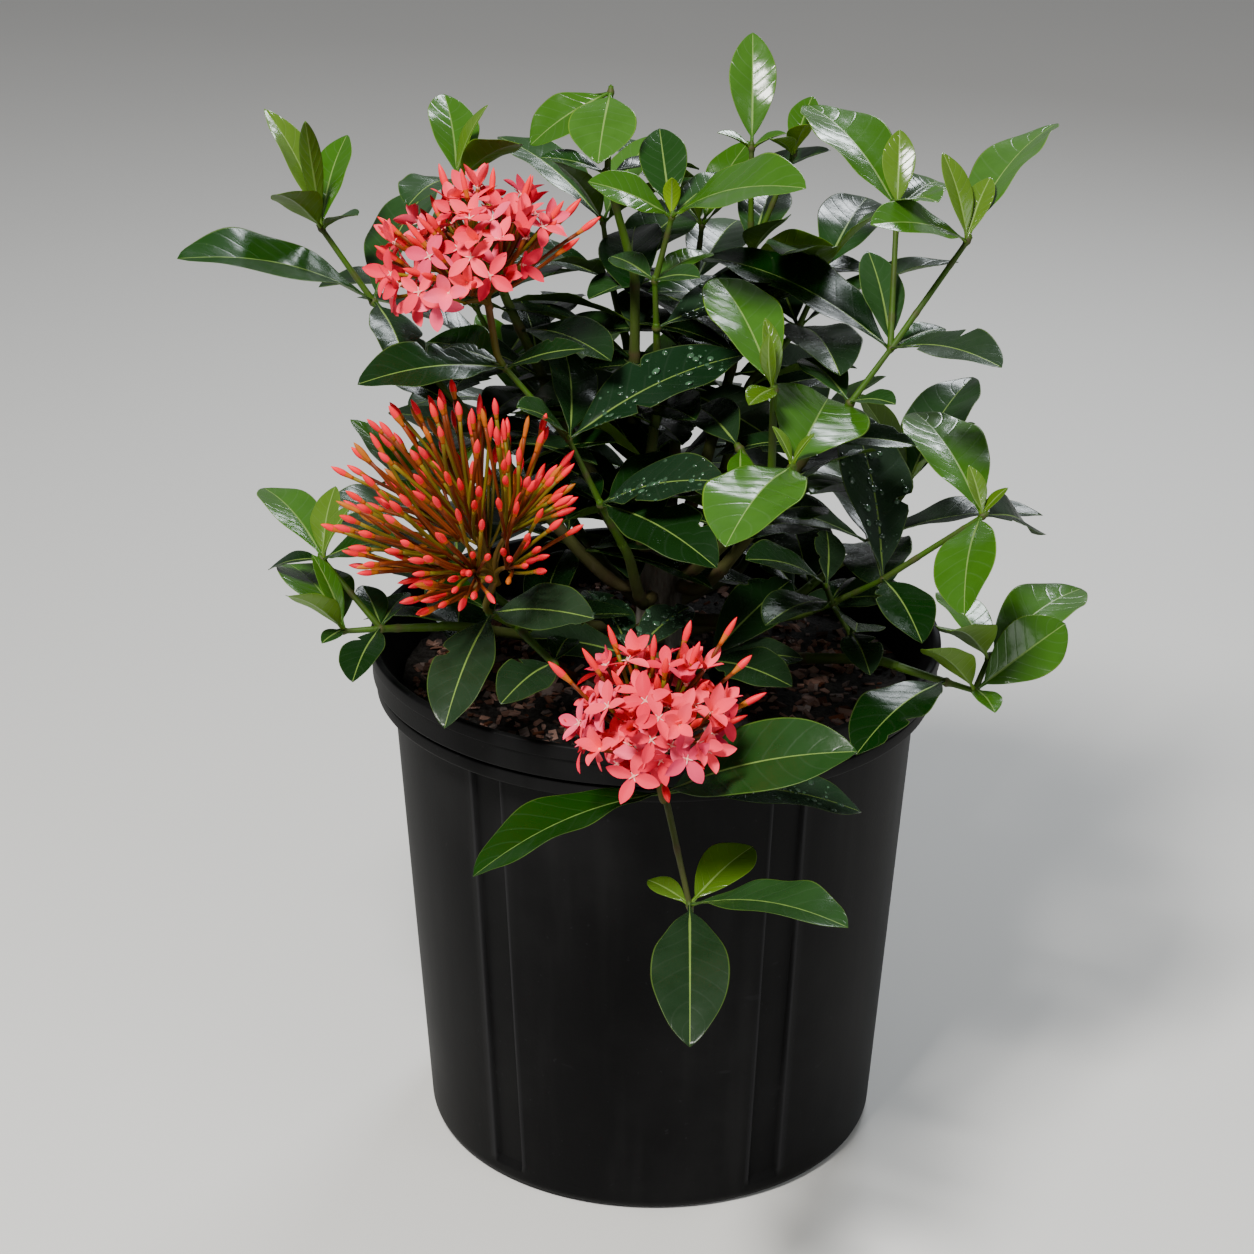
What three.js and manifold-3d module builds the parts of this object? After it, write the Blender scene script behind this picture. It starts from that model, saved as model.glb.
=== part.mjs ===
// A potted ixora: an evergreen flowering shrub in a round black nursery pot.
// Millimetres and degrees. X runs to the right, Y away from the front, Z up.
// The origin is the middle of the pot's flat underside.
import * as THREE from 'three';
import { mergeVertices } from 'three/addons/utils/BufferGeometryUtils.js';
import Module from 'manifold-3d';

const wasm = await Module();
wasm.setup();

// Driving dimensions

const POT = {
  height: 258,
  lipRadius: 138,
  footRadius: 112,
  shoulderRadius: 127,
  rimHeight: 26,
  wall: 3.6,
  floor: 4,
  footRounding: 4,
  facets: 36,
};
const RIM = { lipBand: 6.6, middleBand: 11, step: 1.2, grooveDepth: 2.4, grooveHeight: 1.6, taper: 3 };
const CHANNEL = { left: -127.5, right: -60.5, behind: 3, width: 16, depth: 2, foot: 10 };
const DRAIN = { count: 6, radius: 7, circle: 66, facets: 12 };
const SOIL = { belowLip: 18, crown: 5, facets: 24 };
const TRUNK = { height: 84, footRadius: 19, radius: 12, topRadius: 9, flare: 16, lean: [4, -5], sides: 14 };
const BOUGH = { footRadius: 4.4, tipRadius: 2.9, sides: 5, steps: 5, straight: 9, seat: 0.45 };
const TWIG = { footRadius: 2.6, tipRadius: 1.8, youngRadius: 1.4, sides: 3, steps: 3, collar: 3 };
const LEAF = { widthShare: 0.42, arch: 0.08, fold: 0.2, thickness: 0.013, widest: 0.55, fullness: 0.72 };
const FLORET = { petalReach: 11.5, waist: 3.4, thickness: 0.9, tube: 0.9, sides: 3 };
const BUD = { length: 12, radius: 2.2, neck: 1, tube: 0.9, sides: 3 };
const GAP = 0.3;
const CLEARANCE = 0.35;
const SLIVER = 0.04;

// Where along a leaf its outline is measured
const LEAF_STATIONS = [0.25, 0.55, 0.83];

// How far a leaf that would touch its neighbours is turned, lifted and shortened, in the order tried
const TURNS = [0, 8, -8, 16, -16, 26, -26];
const LIFTS = [0, 8, -8, 16, 26];
const SHARES = [1, 0.85, 0.7];

// The masses of foliage. Each has the point where its stem leaves the bough and the height at which
// that bough leaves the trunk, then its nodes. A node is its place, the node that its twig grows from
// and its leaves. A leaf is its heading, rise, length and roll, and its width share where it is special.
const FOLIAGE = [
  {
    name: 'front',
    root: [4, -128, 277],
    leaves: 258,
    nodes: [
      { at: [5, -165, 249], leaves: [[-143, -11, 94, 6], [-22, 23, 94, 32], [22, -12, 92, 6]] },
      {
        at: [17, -182, 203],
        on: 0,
        leaves: [[-90, -18, 80, 0], [-39, 13, 86, 0], [50, 15, 45, 12, 0.5], [135, 5, 26, -15]],
      },
    ],
  },
  {
    name: 'mid_right',
    root: [50, -62, 350],
    leaves: 296,
    nodes: [
      {
        at: [59, -110, 383],
        leaves: [
          [76, 4, 80, 20, 0.58],
          [-111, -4, 84, 0, 0.5],
          [150, 60, 20, 0, 0.4],
          [30, 65, 18, 0, 0.4],
        ],
      },
      {
        at: [51, -80, 410],
        leaves: [[109, 21, 82, 0], [120, 74, 32, 0, 0.3], [30, 74, 28, 0, 0.3], [-113, 5, 30, -12]],
      },
      { at: [36, -52, 372], leaves: [[109, 0, 61, -15], [-91, -20, 28, 0]] },
    ],
  },
  {
    name: 'right',
    root: [74, -37, 285],
    leaves: 268,
    nodes: [
      { at: [85, -41, 291], leaves: [[-122, 10, 63, -3], [70, 2, 30, -15]] },
      { at: [107, -50, 307], on: 0, leaves: [[101, 38, 96, 21], [-77, -5, 62, 3]] },
      {
        at: [150, -60, 343],
        on: 1,
        leaves: [
          [107, 14, 88, 0],
          [-101, -16, 72, 24],
          [120, 60, 24, 0, 0.4],
          [30, 40, 18, 0, 0.4],
          [60, -25, 66, 30],
        ],
      },
      { at: [78, -58, 306], on: 0, leaves: [[88, 24, 37, 21], [-134, 28, 63, -21]] },
      { at: [93, -43, 273], on: 0, leaves: [[-108, 24, 62, -21], [-82, -1, 46, 3]] },
    ],
  },
  {
    name: 'right_low',
    root: [112, -68, 270],
    leaves: 250,
    nodes: [
      { at: [136, -80, 267], leaves: [[-124, -4, 80, 3]] },
      {
        at: [149, -85, 265],
        on: 0,
        leaves: [[33, 23, 56, 44, 0.52], [-131, 40, 52, 20], [-79, 6, 31, -3]],
      },
      { at: [154, -70, 278], on: 1, leaves: [[42, 8, 78, 6], [-132, 33, 63, 15], [108, 10, 58, 12]] },
    ],
  },
  {
    name: 'right_top',
    root: [80, -38, 378],
    leaves: 284,
    nodes: [
      { at: [89, -40, 390], leaves: [[114, 8, 49, -3], [-57, 16, 35, 15]] },
      {
        at: [107, -30, 413],
        on: 0,
        leaves: [[-54, 9, 75, 9], [140, 11, 114, 0], [105, 45, 51, 6], [40, 5, 35, 9]],
      },
      {
        at: [141, -10, 458],
        on: 1,
        leaves: [[55, 26, 89, -21], [-138, 17, 66, -24], [125, 62, 42, 0, 0.35], [60, 55, 34, 0, 0.4]],
      },
      {
        at: [108, 0, 470],
        on: 1,
        leaves: [[116, 19, 92, 3], [-65, 3, 51, 12], [61, 4, 46, 12, 0.5], [86, 60, 38, 0, 0.4]],
      },
    ],
  },
  {
    name: 'top_middle',
    root: [0, -10, 392],
    leaves: 310,
    nodes: [
      { at: [-1, -18, 418], leaves: [[2, 5, 88, 10]] },
      { at: [-2, -20, 441], on: 0, leaves: [[126, 6, 35, -15], [51, 6, 42, 3], [-52, 17, 34, 24]] },
      {
        at: [6, -20, 471],
        on: 1,
        leaves: [
          [-49, 20, 92, 27],
          [-165, 26, 43, -35, 0.5],
          [98, 36, 52, -10],
          [48, 14, 48, 0],
          [-90, 78, 20, 0, 0.4],
        ],
      },
    ],
  },
  {
    name: 'top_back',
    root: [-14, 18, 440],
    leaves: 311,
    nodes: [
      { at: [-25, 12, 482], leaves: [[188, 16, 32, -12, 0.5], [38, -6, 54, 0]] },
      {
        at: [-23, 30, 516],
        on: 0,
        leaves: [[-97, -30, 46, 0, 0.68], [197, -30, 44, -25, 0.6], [120, -30, 30, 0, 0.5]],
      },
    ],
  },
  {
    name: 'top_right',
    root: [40, 50, 400],
    leaves: 313,
    nodes: [
      { at: [44, 56, 432], leaves: [[-60, 40, 40, 6, 0.6], [-18, 20, 42, -35, 0.6], [78, 19, 62, 6]] },
      {
        at: [43, 56, 484],
        on: 0,
        leaves: [[90, 62, 56, 0, 0.4], [180, 25, 18, 0, 0.7], [0, 25, 18, 0, 0.7]],
      },
      { at: [64, 60, 480], on: 0, leaves: [[-140, 35, 30, 9], [-69, 43, 29, 3], [60, 50, 34, 0]] },
    ],
  },
  {
    name: 'left_top',
    root: [-104, -28, 398],
    leaves: 284,
    nodes: [
      {
        at: [-132, -15, 428],
        leaves: [[-139, 21, 110, -18, 0.37], [69, 29, 83, -21], [-70, -17, 60, -12]],
      },
      {
        at: [-155, -10, 461],
        on: 0,
        leaves: [
          [146, 58, 60, 0, 0.32],
          [-100, 70, 58, 20, 0.17],
          [96, 60, 67, -15, 0.46],
          [-115, 35, 43, 18, 0.5],
          [-35, 25, 24, 0, 0.7],
        ],
      },
    ],
  },
  {
    name: 'middle',
    root: [-16, -48, 322],
    leaves: 280,
    nodes: [
      {
        at: [-26, -60, 347],
        leaves: [[-51, -3, 82, 15], [-38, 22, 75, 27], [48, 4, 62, 12], [110, 3, 36, -6]],
      },
      { at: [-41, -58, 378], on: 0, leaves: [[26, 18, 92, 12], [95, 24, 64, 30], [-123, 34, 48, -33]] },
      {
        at: [-70, -52, 409],
        on: 1,
        leaves: [[-148, 4, 74, -20], [140, 2, 50, -15, 0.6], [-10, 18, 38, 20], [180, 25, 30, 0]],
      },
    ],
  },
  {
    name: 'left_front',
    root: [-60, -62, 284],
    leaves: 262,
    nodes: [
      { at: [-76, -80, 300], leaves: [[-106, -24, 70, 4], [-40, 14, 64, 33], [150, 10, 60, 0]] },
      { at: [-44, -106, 285], leaves: [[-112, 4, 56, -15], [81, -4, 35, 6]] },
    ],
  },
  {
    name: 'left',
    root: [-100, -60, 284],
    leaves: 254,
    nodes: [
      {
        at: [-128, -75, 289],
        leaves: [[-103, -12, 42, 9, 0.5], [117, 30, 26, 6, 0.6], [80, 28, 26, -12, 0.6]],
      },
      {
        at: [-145, -76, 288],
        on: 0,
        leaves: [[123, 14, 57, 12, 0.65], [150, 64, 38, -12, 0.3], [-125, 39, 47, 18], [-114, 5, 20, -12]],
      },
      {
        at: [-154, -60, 319],
        on: 0,
        leaves: [
          [122, 13, 65, 6],
          [-39, 23, 52, 27],
          [80, 50, 36, -24, 0.45],
          [-20, 55, 30, 20, 0.45],
          [150, -20, 34, -10],
        ],
      },
    ],
  },
  {
    name: 'low_middle',
    root: [-16, -42, 258],
    leaves: 248,
    nodes: [
      { at: [-10, -62, 271], leaves: [[106, 13, 56, 12], [-150, 16, 52, -30], [73, 9, 51, 9]] },
    ],
  },
  {
    name: 'low_right',
    root: [24, -42, 258],
    leaves: 248,
    nodes: [
      { at: [24, -62, 269], leaves: [[50, 3, 66, 24], [-48, 7, 57, 21], [10, -2, 46, 18]] },
    ],
  },
  {
    name: 'top_left',
    root: [-72, 8, 424],
    leaves: 316,
    nodes: [
      {
        at: [-95, 20, 476],
        leaves: [[102, 40, 50, 15, 0.5], [60, 55, 38, -15, 0.4], [-49, 30, 54, -21], [-107, 4, 60, 0]],
      },
    ],
  },
];

// The far side of the crown, which grows by rule: two rings of shoots about the trunk
const FAR_RINGS = [
  {
    name: 'back_low',
    count: 5, from: 18, to: 164, reach: 126, height: 322, leaves: 256, lengths: [92, 88, 60],
  },
  {
    name: 'back_high',
    count: 4, from: 32, to: 150, reach: 88, height: 424, leaves: 290, lengths: [88, 84, 54],
  },
];
const FAR_SEED = 20;
const FAR_SHOOT = { stagger: 12, rootShare: 0.62, rootDrop: 46, nodeDrop: 26, nodeShare: 0.86, spread: 10 };

// The flower heads: hub, heading and rise of the axis, then the dome of flowers above the hub
const HEADS = [
  {
    name: 'left', on: ['middle', 2], hub: [-76, -48, 436], heading: 200, rise: 66, offset: 26,
    across: 41, along: 26, lowest: 96, open: 25, buds: 6, seed: 3,
  },
  {
    name: 'front', on: ['front', 0], hub: [0, -167, 272], heading: -100, rise: 66, offset: 22,
    across: 34, along: 26, lowest: 96, open: 22, buds: 5, seed: 5,
  },
  {
    name: 'buds', on: ['left_front', 0], hub: [-72, -84, 318], heading: 205, rise: 64, offset: 42,
    across: 56, along: 52, lowest: 112, open: 0, buds: 50, seed: 7,
  },
];
const HEAD = { hubRadius: 6, stalkRadius: 2, budStandsOut: 1.2 };

const COLOURS = {
  pot: { color: 0x2b2c2f, roughness: 0.55, metalness: 0 },
  soil: { color: 0x2e2018, roughness: 0.95, metalness: 0 },
  bark: { color: 0x5a4a34, roughness: 0.85, metalness: 0 },
  stem: { color: 0x6f7d2a, roughness: 0.6, metalness: 0 },
  leaf: { color: 0x4f8220, roughness: 0.35, metalness: 0 },
  flower: { color: 0xf0667a, roughness: 0.6, metalness: 0 },
  buds: { color: 0xc98f52, roughness: 0.6, metalness: 0 },
};

// Small helpers

const radians = THREE.MathUtils.degToRad;
const vector = (place) => new THREE.Vector3(...place);

function seeded(seed) {
  let state = seed >>> 0;
  return () => {
    state = (state + 0x6d2b79f5) >>> 0;
    let t = state;
    t = Math.imul(t ^ (t >>> 15), t | 1);
    t ^= t + Math.imul(t ^ (t >>> 7), t | 61);
    return ((t ^ (t >>> 14)) >>> 0) / 4294967296;
  };
}

function direction(heading, rise) {
  const level = Math.cos(radians(rise));
  return new THREE.Vector3(
    Math.cos(radians(heading)) * level,
    Math.sin(radians(heading)) * level,
    Math.sin(radians(rise)),
  );
}

// Solids

// A closed skin over rings of points, each ring counterclockwise seen from the last one.
// A ring of one point closes an end in a cone, and any other end ring is capped flat.
function skin(rings) {
  const points = rings.flat();
  const starts = [];
  let total = 0;
  for (const ring of rings) {
    starts.push(total);
    total += ring.length;
  }
  const index = [];
  const sides = Math.max(...rings.map((ring) => ring.length));
  const corner = (ring, side) => starts[ring] + (side % rings[ring].length);
  for (let ring = 0; ring + 1 < rings.length; ring++) {
    for (let side = 0; side < sides; side++) {
      if (rings[ring].length > 1) {
        index.push(corner(ring, side), corner(ring, side + 1), corner(ring + 1, side + 1));
      }
      if (rings[ring + 1].length > 1) {
        index.push(corner(ring, side), corner(ring + 1, side + 1), corner(ring + 1, side));
      }
    }
  }
  const last = rings.length - 1;
  for (let side = 1; side + 1 < rings[0].length; side++) {
    index.push(corner(0, 0), corner(0, side + 1), corner(0, side));
  }
  for (let side = 1; side + 1 < rings[last].length; side++) {
    index.push(corner(last, 0), corner(last, side), corner(last, side + 1));
  }
  const geometry = new THREE.BufferGeometry().setFromPoints(points);
  geometry.setIndex(index);
  return toSolid(geometry);
}

function toSolid(geometry) {
  const bare = geometry.clone();
  bare.deleteAttribute('normal');
  bare.deleteAttribute('uv');
  const merged = mergeVertices(bare, 1e-4);
  return new wasm.Manifold(new wasm.Mesh({
    numProp: 3,
    vertProperties: new Float32Array(merged.attributes.position.array),
    triVerts: new Uint32Array(merged.index.array),
  }));
}

function toGeometry(solid) {
  const mesh = solid.getMesh();
  const geometry = new THREE.BufferGeometry();
  geometry.setAttribute('position', new THREE.BufferAttribute(new Float32Array(mesh.vertProperties), 3));
  geometry.setIndex(new THREE.BufferAttribute(new Uint32Array(mesh.triVerts), 1));
  geometry.computeVertexNormals();
  return geometry;
}

// One solid from many, with edges shorter than a sliver closed up
function join(solids) {
  return solids.reduce((whole, solid) => whole.add(solid)).simplify(SLIVER);
}

function circle(centre, across, up, radius, sides) {
  return Array.from({ length: sides }, (_, side) => {
    const turn = (2 * Math.PI * side) / sides;
    return centre.clone()
      .addScaledVector(across, Math.cos(turn) * radius)
      .addScaledVector(up, Math.sin(turn) * radius);
  });
}

// A limb along a smooth path, with its radius given by how far along it is
function limb(path, radiusAt, sides, steps) {
  const curve = new THREE.CatmullRomCurve3(path, false, 'centripetal');
  const frames = curve.computeFrenetFrames(steps);
  const rings = [];
  for (let step = 0; step <= steps; step++) {
    const along = step / steps;
    const centre = curve.getPointAt(along);
    rings.push(circle(centre, frames.normals[step], frames.binormals[step], radiusAt(along), sides));
  }
  return skin(rings);
}

const tapering = (foot, tip) => (along) => foot + (tip - foot) * along;

function revolve(profile, facets) {
  const geometry = new THREE.LatheGeometry(profile.map(([r, z]) => new THREE.Vector2(r, z)), facets);
  geometry.rotateX(Math.PI / 2);
  return toSolid(geometry);
}

// The pot

function wallRadius(height) {
  const share = height / (POT.height - POT.rimHeight);
  return POT.footRadius + (POT.shoulderRadius - POT.footRadius) * share;
}

function potBody() {
  const shoulder = POT.height - POT.rimHeight;
  const lipFoot = POT.height - RIM.lipBand;
  const groove = lipFoot - RIM.middleBand;
  const lip = POT.lipRadius;
  const middle = lip - RIM.step;
  const lower = lip - RIM.taper;
  const rounding = POT.footRounding;
  const outer = [
    [0, 0],
    [wallRadius(0) - rounding, 0],
    [wallRadius(0) - rounding * 0.3, rounding * 0.3],
    [wallRadius(rounding), rounding],
    [wallRadius(shoulder), shoulder],
    [lower - 1, shoulder],
    [lower, shoulder + 1],
    [lower, groove - RIM.grooveHeight],
    [lower - RIM.grooveDepth, groove - RIM.grooveHeight],
    [lower - RIM.grooveDepth, groove],
    [middle, groove],
    [middle, lipFoot],
    [lip, lipFoot],
    [lip, POT.height - 1],
    [lip - 1, POT.height],
  ];
  const inner = [
    [lip - POT.wall + 1, POT.height],
    [lip - POT.wall, POT.height - 1],
    [wallRadius(shoulder) - POT.wall, shoulder - 4],
    [wallRadius(POT.floor) - POT.wall, POT.floor],
    [0, POT.floor],
  ];
  return revolve([...outer, ...inner], POT.facets);
}

// The two channels in front, and those behind spread evenly over the rest of the wall
function channelTurns() {
  const step = (360 + CHANNEL.left - CHANNEL.right) / (CHANNEL.behind + 1);
  const rest = Array.from({ length: CHANNEL.behind }, (_, number) => CHANNEL.right + step * (number + 1));
  return [CHANNEL.left, CHANNEL.right, ...rest];
}

// One upright channel pressed into the wall, from under the rim down to the foot
function channel(turn) {
  const top = POT.height - POT.rimHeight;
  const height = top - CHANNEL.foot;
  const lean = Math.atan((POT.shoulderRadius - POT.footRadius) / top);
  const cutter = new THREE.BoxGeometry(CHANNEL.depth * 2, CHANNEL.width, height / Math.cos(lean));
  cutter.rotateY(lean);
  cutter.translate(wallRadius((top + CHANNEL.foot) / 2), 0, (top + CHANNEL.foot) / 2);
  cutter.rotateZ(radians(turn));
  return toSolid(cutter);
}

function drainHole(turn) {
  const cutter = new THREE.CylinderGeometry(DRAIN.radius, DRAIN.radius, POT.floor * 4, DRAIN.facets);
  cutter.rotateX(Math.PI / 2);
  cutter.translate(DRAIN.circle, 0, 0);
  cutter.rotateZ(radians(turn));
  return toSolid(cutter);
}

function pot() {
  let body = potBody();
  for (const turn of channelTurns()) {
    body = body.subtract(channel(turn));
  }
  for (let i = 0; i < DRAIN.count; i++) {
    body = body.subtract(drainHole((360 / DRAIN.count) * i));
  }
  return body;
}

const SOIL_TOP = POT.height - SOIL.belowLip;

function soil() {
  const shoulder = POT.height - POT.rimHeight;
  const floor = POT.floor + GAP;
  const radius = (height) => wallRadius(height) - POT.wall - GAP - 0.4;
  return revolve([
    [0, floor],
    [radius(floor), floor],
    [radius(shoulder - 5), shoulder - 5],
    [radius(shoulder - 5), SOIL_TOP - SOIL.crown],
    [radius(shoulder - 5) * 0.55, SOIL_TOP - SOIL.crown * 0.3],
    [TRUNK.footRadius * 1.4, SOIL_TOP],
    [0, SOIL_TOP],
  ], SOIL.facets);
}

// Trunk and boughs

const TRUNK_FOOT = SOIL_TOP + GAP;

function trunkRadius(rise) {
  const flare = (TRUNK.footRadius - TRUNK.radius) * Math.exp(-rise / (TRUNK.flare / 2));
  return TRUNK.radius + (TRUNK.topRadius - TRUNK.radius) * (rise / TRUNK.height) + flare;
}

function trunkAxis(rise) {
  const share = rise / TRUNK.height;
  return new THREE.Vector3(TRUNK.lean[0] * share, TRUNK.lean[1] * share, TRUNK_FOOT + rise);
}

function trunk() {
  const rises = [0, 4, 9, TRUNK.flare, 30, 54, TRUNK.height - 3, TRUNK.height];
  const east = new THREE.Vector3(1, 0, 0);
  const north = new THREE.Vector3(0, 1, 0);
  return skin(rises.map((rise) => {
    const trim = rise === TRUNK.height ? 2.5 : 0;
    return circle(trunkAxis(rise), east, north, trunkRadius(rise) - trim, TRUNK.sides);
  }));
}

// A bough from the trunk's side, level at first, to the point where its mass of foliage begins
function bough(mass) {
  const rise = Math.min(mass.leaves - TRUNK_FOOT, TRUNK.height - BOUGH.footRadius - 3);
  const axis = trunkAxis(rise);
  const end = vector(mass.root);
  const outward = end.clone().sub(axis).setZ(0).normalize();
  const start = axis.addScaledVector(outward, trunkRadius(rise - BOUGH.footRadius) + BOUGH.seat);
  const joint = vector(mass.nodes[0].at).sub(end).normalize();
  return limb([
    start,
    start.clone().addScaledVector(outward, BOUGH.straight),
    end.clone().addScaledVector(joint, -BOUGH.straight),
    end,
  ], tapering(BOUGH.footRadius, BOUGH.tipRadius), BOUGH.sides, BOUGH.steps);
}

// Leaves

function halfWidth(share, width) {
  const power = Math.log(0.5) / Math.log(LEAF.widest);
  return (width / 2) * Math.sin(Math.PI * share ** power) ** LEAF.fullness;
}

// The three directions of a leaf: along it, out of its upper face and across it
function leafFrame(heading, rise, roll) {
  const along = direction(heading, rise);
  const face = direction(heading, rise + 90).applyAxisAngle(along, radians(roll));
  return { along, face, across: along.clone().cross(face) };
}

// A lens-shaped blade, folded a little along its midrib and arched from root to tip
function leafRings(root, [heading, rise, length, roll, widthShare = LEAF.widthShare], margin) {
  const { along, face, across } = leafFrame(heading, rise, roll);
  const thick = (LEAF.thickness * length) / 2 + margin;
  const midrib = (share) => root.clone()
    .addScaledVector(along, share * length)
    .addScaledVector(face, LEAF.arch * length * 4 * share * (1 - share));
  const rings = LEAF_STATIONS.map((share) => {
    const half = halfWidth(share, widthShare * length) + margin;
    const edge = (side) => midrib(share)
      .addScaledVector(across, side * half)
      .addScaledVector(face, LEAF.fold * half);
    const skinPoint = (side) => midrib(share).addScaledVector(face, side * thick);
    return [skinPoint(1), edge(1), skinPoint(-1), edge(-1)];
  });
  return [...rings, [midrib(1)]];
}

const leaf = (root, values, margin = 0) => skin([[root.clone()], ...leafRings(root, values, margin)]);

// The leaf without the part near its root, where the leaves of one node meet
const outerLeaf = (root, values, margin = 0) => skin(leafRings(root, values, margin));

// Foliage

// What every new leaf keeps clear of, with the mass that it belongs to
const placed = [];

function place(solid, mass, outer = null) {
  placed.push({ solid, mass, outer, box: solid.boundingBox() });
}

function boxesMeet(a, b) {
  return [0, 1, 2].every((axis) => a.min[axis] <= b.max[axis] && b.min[axis] <= a.max[axis]);
}

// Leaves of one mass keep their outer parts clear of each other, and all of a leaf is clear of the rest
function touches(root, values, mass) {
  const whole = leaf(root, values, CLEARANCE);
  const outer = outerLeaf(root, values, CLEARANCE);
  const box = whole.boundingBox();
  return placed.some((other) => {
    const [mine, theirs] = other.mass === mass ? [outer, other.outer] : [whole, other.solid];
    return theirs && boxesMeet(box, other.box) && !mine.intersect(theirs).isEmpty();
  });
}

// The leaf as it grows, or turned, lifted or shortened until it is clear of its neighbours.
// One that can't be cleared is left out.
function settle(root, values, mass) {
  const [heading, rise, length, ...rest] = values;
  for (const share of SHARES) {
    for (const lift of LIFTS) {
      for (const turn of TURNS) {
        const tried = [heading + turn, rise + lift, length * share, ...rest];
        if (!touches(root, tried, mass)) {
          return tried;
        }
      }
    }
  }
  return null;
}

function twigPath(mass, node) {
  const end = vector(node.at);
  if (node.on !== undefined) {
    return [leafRoot(mass, mass.nodes[node.on]), end];
  }
  const root = vector(mass.root);
  const joint = vector(mass.nodes[0].at).sub(root).normalize();
  return [
    root.clone().addScaledVector(joint, GAP),
    root.clone().addScaledVector(joint, GAP + TWIG.footRadius * 2),
    end,
  ];
}

// A first twig bends away from its bough, and one that grows on from it is straight and thinner
function twig(mass, node) {
  const path = twigPath(mass, node);
  if (node.on !== undefined) {
    return limb(path, tapering(TWIG.tipRadius, TWIG.youngRadius), TWIG.sides, 1);
  }
  return limb(path, tapering(TWIG.footRadius, TWIG.tipRadius), TWIG.sides, TWIG.steps);
}

// Where a node's leaves grow from: the middle of the twig, a little below its end
function leafRoot(mass, node) {
  const path = twigPath(mass, node);
  const end = path[path.length - 1];
  const before = path[path.length - 2];
  return end.clone().addScaledVector(end.clone().sub(before).normalize(), -TWIG.collar);
}

function foliage(mass, twigs) {
  const parts = [...twigs];
  for (const node of mass.nodes) {
    const root = leafRoot(mass, node);
    for (const values of node.leaves) {
      const settled = settle(root, values, mass.name);
      if (settled) {
        const blade = leaf(root, settled);
        parts.push(blade);
        place(blade, mass.name, outerLeaf(root, settled));
      }
    }
  }
  return join(parts);
}

// One shoot of the far side, with opposite leaves, each pair crossing the one below it
function farShoot(ring, number, random) {
  const heading = ring.from + ((ring.to - ring.from) * number) / (ring.count - 1);
  const vary = (amount) => (random() * 2 - 1) * amount;
  const reach = ring.reach + vary(FAR_SHOOT.spread);
  const height = ring.height + vary(FAR_SHOOT.spread * 2);
  const outward = direction(heading + vary(6), 0);
  const spot = (share, drop) => [outward.x * reach * share, outward.y * reach * share, height - drop];
  const turn = vary(40);
  const pair = (across, rise, length) => [
    [heading + turn + across, rise + vary(8), length * (1 - random() * 0.12), vary(12)],
    [heading + turn + across + 180, rise + vary(8), length * (1 - random() * 0.12), vary(12)],
  ];
  const [long, middle, young] = ring.lengths;
  return {
    name: `${ring.name}_${number + 1}`,
    root: spot(FAR_SHOOT.rootShare, FAR_SHOOT.rootDrop),
    leaves: ring.leaves + (number % 2) * FAR_SHOOT.stagger,
    nodes: [
      {
        at: spot(FAR_SHOOT.nodeShare, FAR_SHOOT.nodeDrop),
        leaves: [...pair(90, 2, long), ...pair(0, 14, middle)],
      },
      { at: spot(1, 0), on: 0, leaves: [...pair(60, 18, middle), ...pair(-30, 52, young)] },
    ],
  };
}

function farSide() {
  const random = seeded(FAR_SEED);
  return FAR_RINGS.flatMap((ring) => Array.from(
    { length: ring.count },
    (_, number) => farShoot(ring, number, random),
  ));
}

// Flower heads

// A corolla of four petals on its slender tube
function floret(foot, centre, spin) {
  const axis = centre.clone().sub(foot).normalize();
  const side = new THREE.Vector3(0, 0, 1).cross(axis).normalize();
  const up = axis.clone().cross(side);
  const tube = skin([
    circle(foot, side, up, FLORET.tube, FLORET.sides),
    circle(centre, side, up, FLORET.tube, FLORET.sides),
  ]);
  const star = Array.from({ length: 8 }, (_, point) => {
    const turn = spin + (Math.PI * point) / 4;
    const radius = point % 2 ? FLORET.waist : FLORET.petalReach;
    return centre.clone()
      .addScaledVector(side, Math.cos(turn) * radius)
      .addScaledVector(up, Math.sin(turn) * radius);
  });
  const lower = centre.clone().addScaledVector(axis, -FLORET.thickness / 2);
  const upper = centre.clone().addScaledVector(axis, FLORET.thickness / 2);
  return [tube, skin([[lower], star, [upper]])];
}

// A closed bud, thickest above its middle, at the end of its slender tube
function bud(foot, tip) {
  const axis = tip.clone().sub(foot).normalize();
  const side = new THREE.Vector3(0, 0, 1).cross(axis).normalize();
  const up = axis.clone().cross(side);
  const back = (length) => tip.clone().addScaledVector(axis, -length);
  return skin([
    circle(foot, side, up, BUD.tube, BUD.sides),
    circle(back(BUD.length), side, up, BUD.neck, BUD.sides),
    circle(back(BUD.length * 0.4), side, up, BUD.radius, BUD.sides),
    [tip],
  ]);
}

// Points spread evenly over a dome by the golden angle, from its top down to its lowest edge
function domePoints(head, random) {
  const axis = direction(head.heading, head.rise);
  const side = new THREE.Vector3(0, 0, 1).cross(axis).normalize();
  const up = axis.clone().cross(side);
  const middle = vector(head.hub).addScaledVector(axis, head.offset);
  const count = head.open + head.buds;
  const golden = Math.PI * (3 - Math.sqrt(5));
  return Array.from({ length: count }, (_, number) => {
    const height = 1 - ((number + 0.5) / count) * (1 - Math.cos(radians(head.lowest)));
    const level = Math.sqrt(1 - height * height);
    const turn = golden * number;
    const swell = 1 + (random() - 0.5) * 0.12;
    return middle.clone()
      .addScaledVector(side, Math.cos(turn) * level * head.across * swell)
      .addScaledVector(up, Math.sin(turn) * level * head.across * swell)
      .addScaledVector(axis, height * head.along * swell);
  });
}

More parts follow.
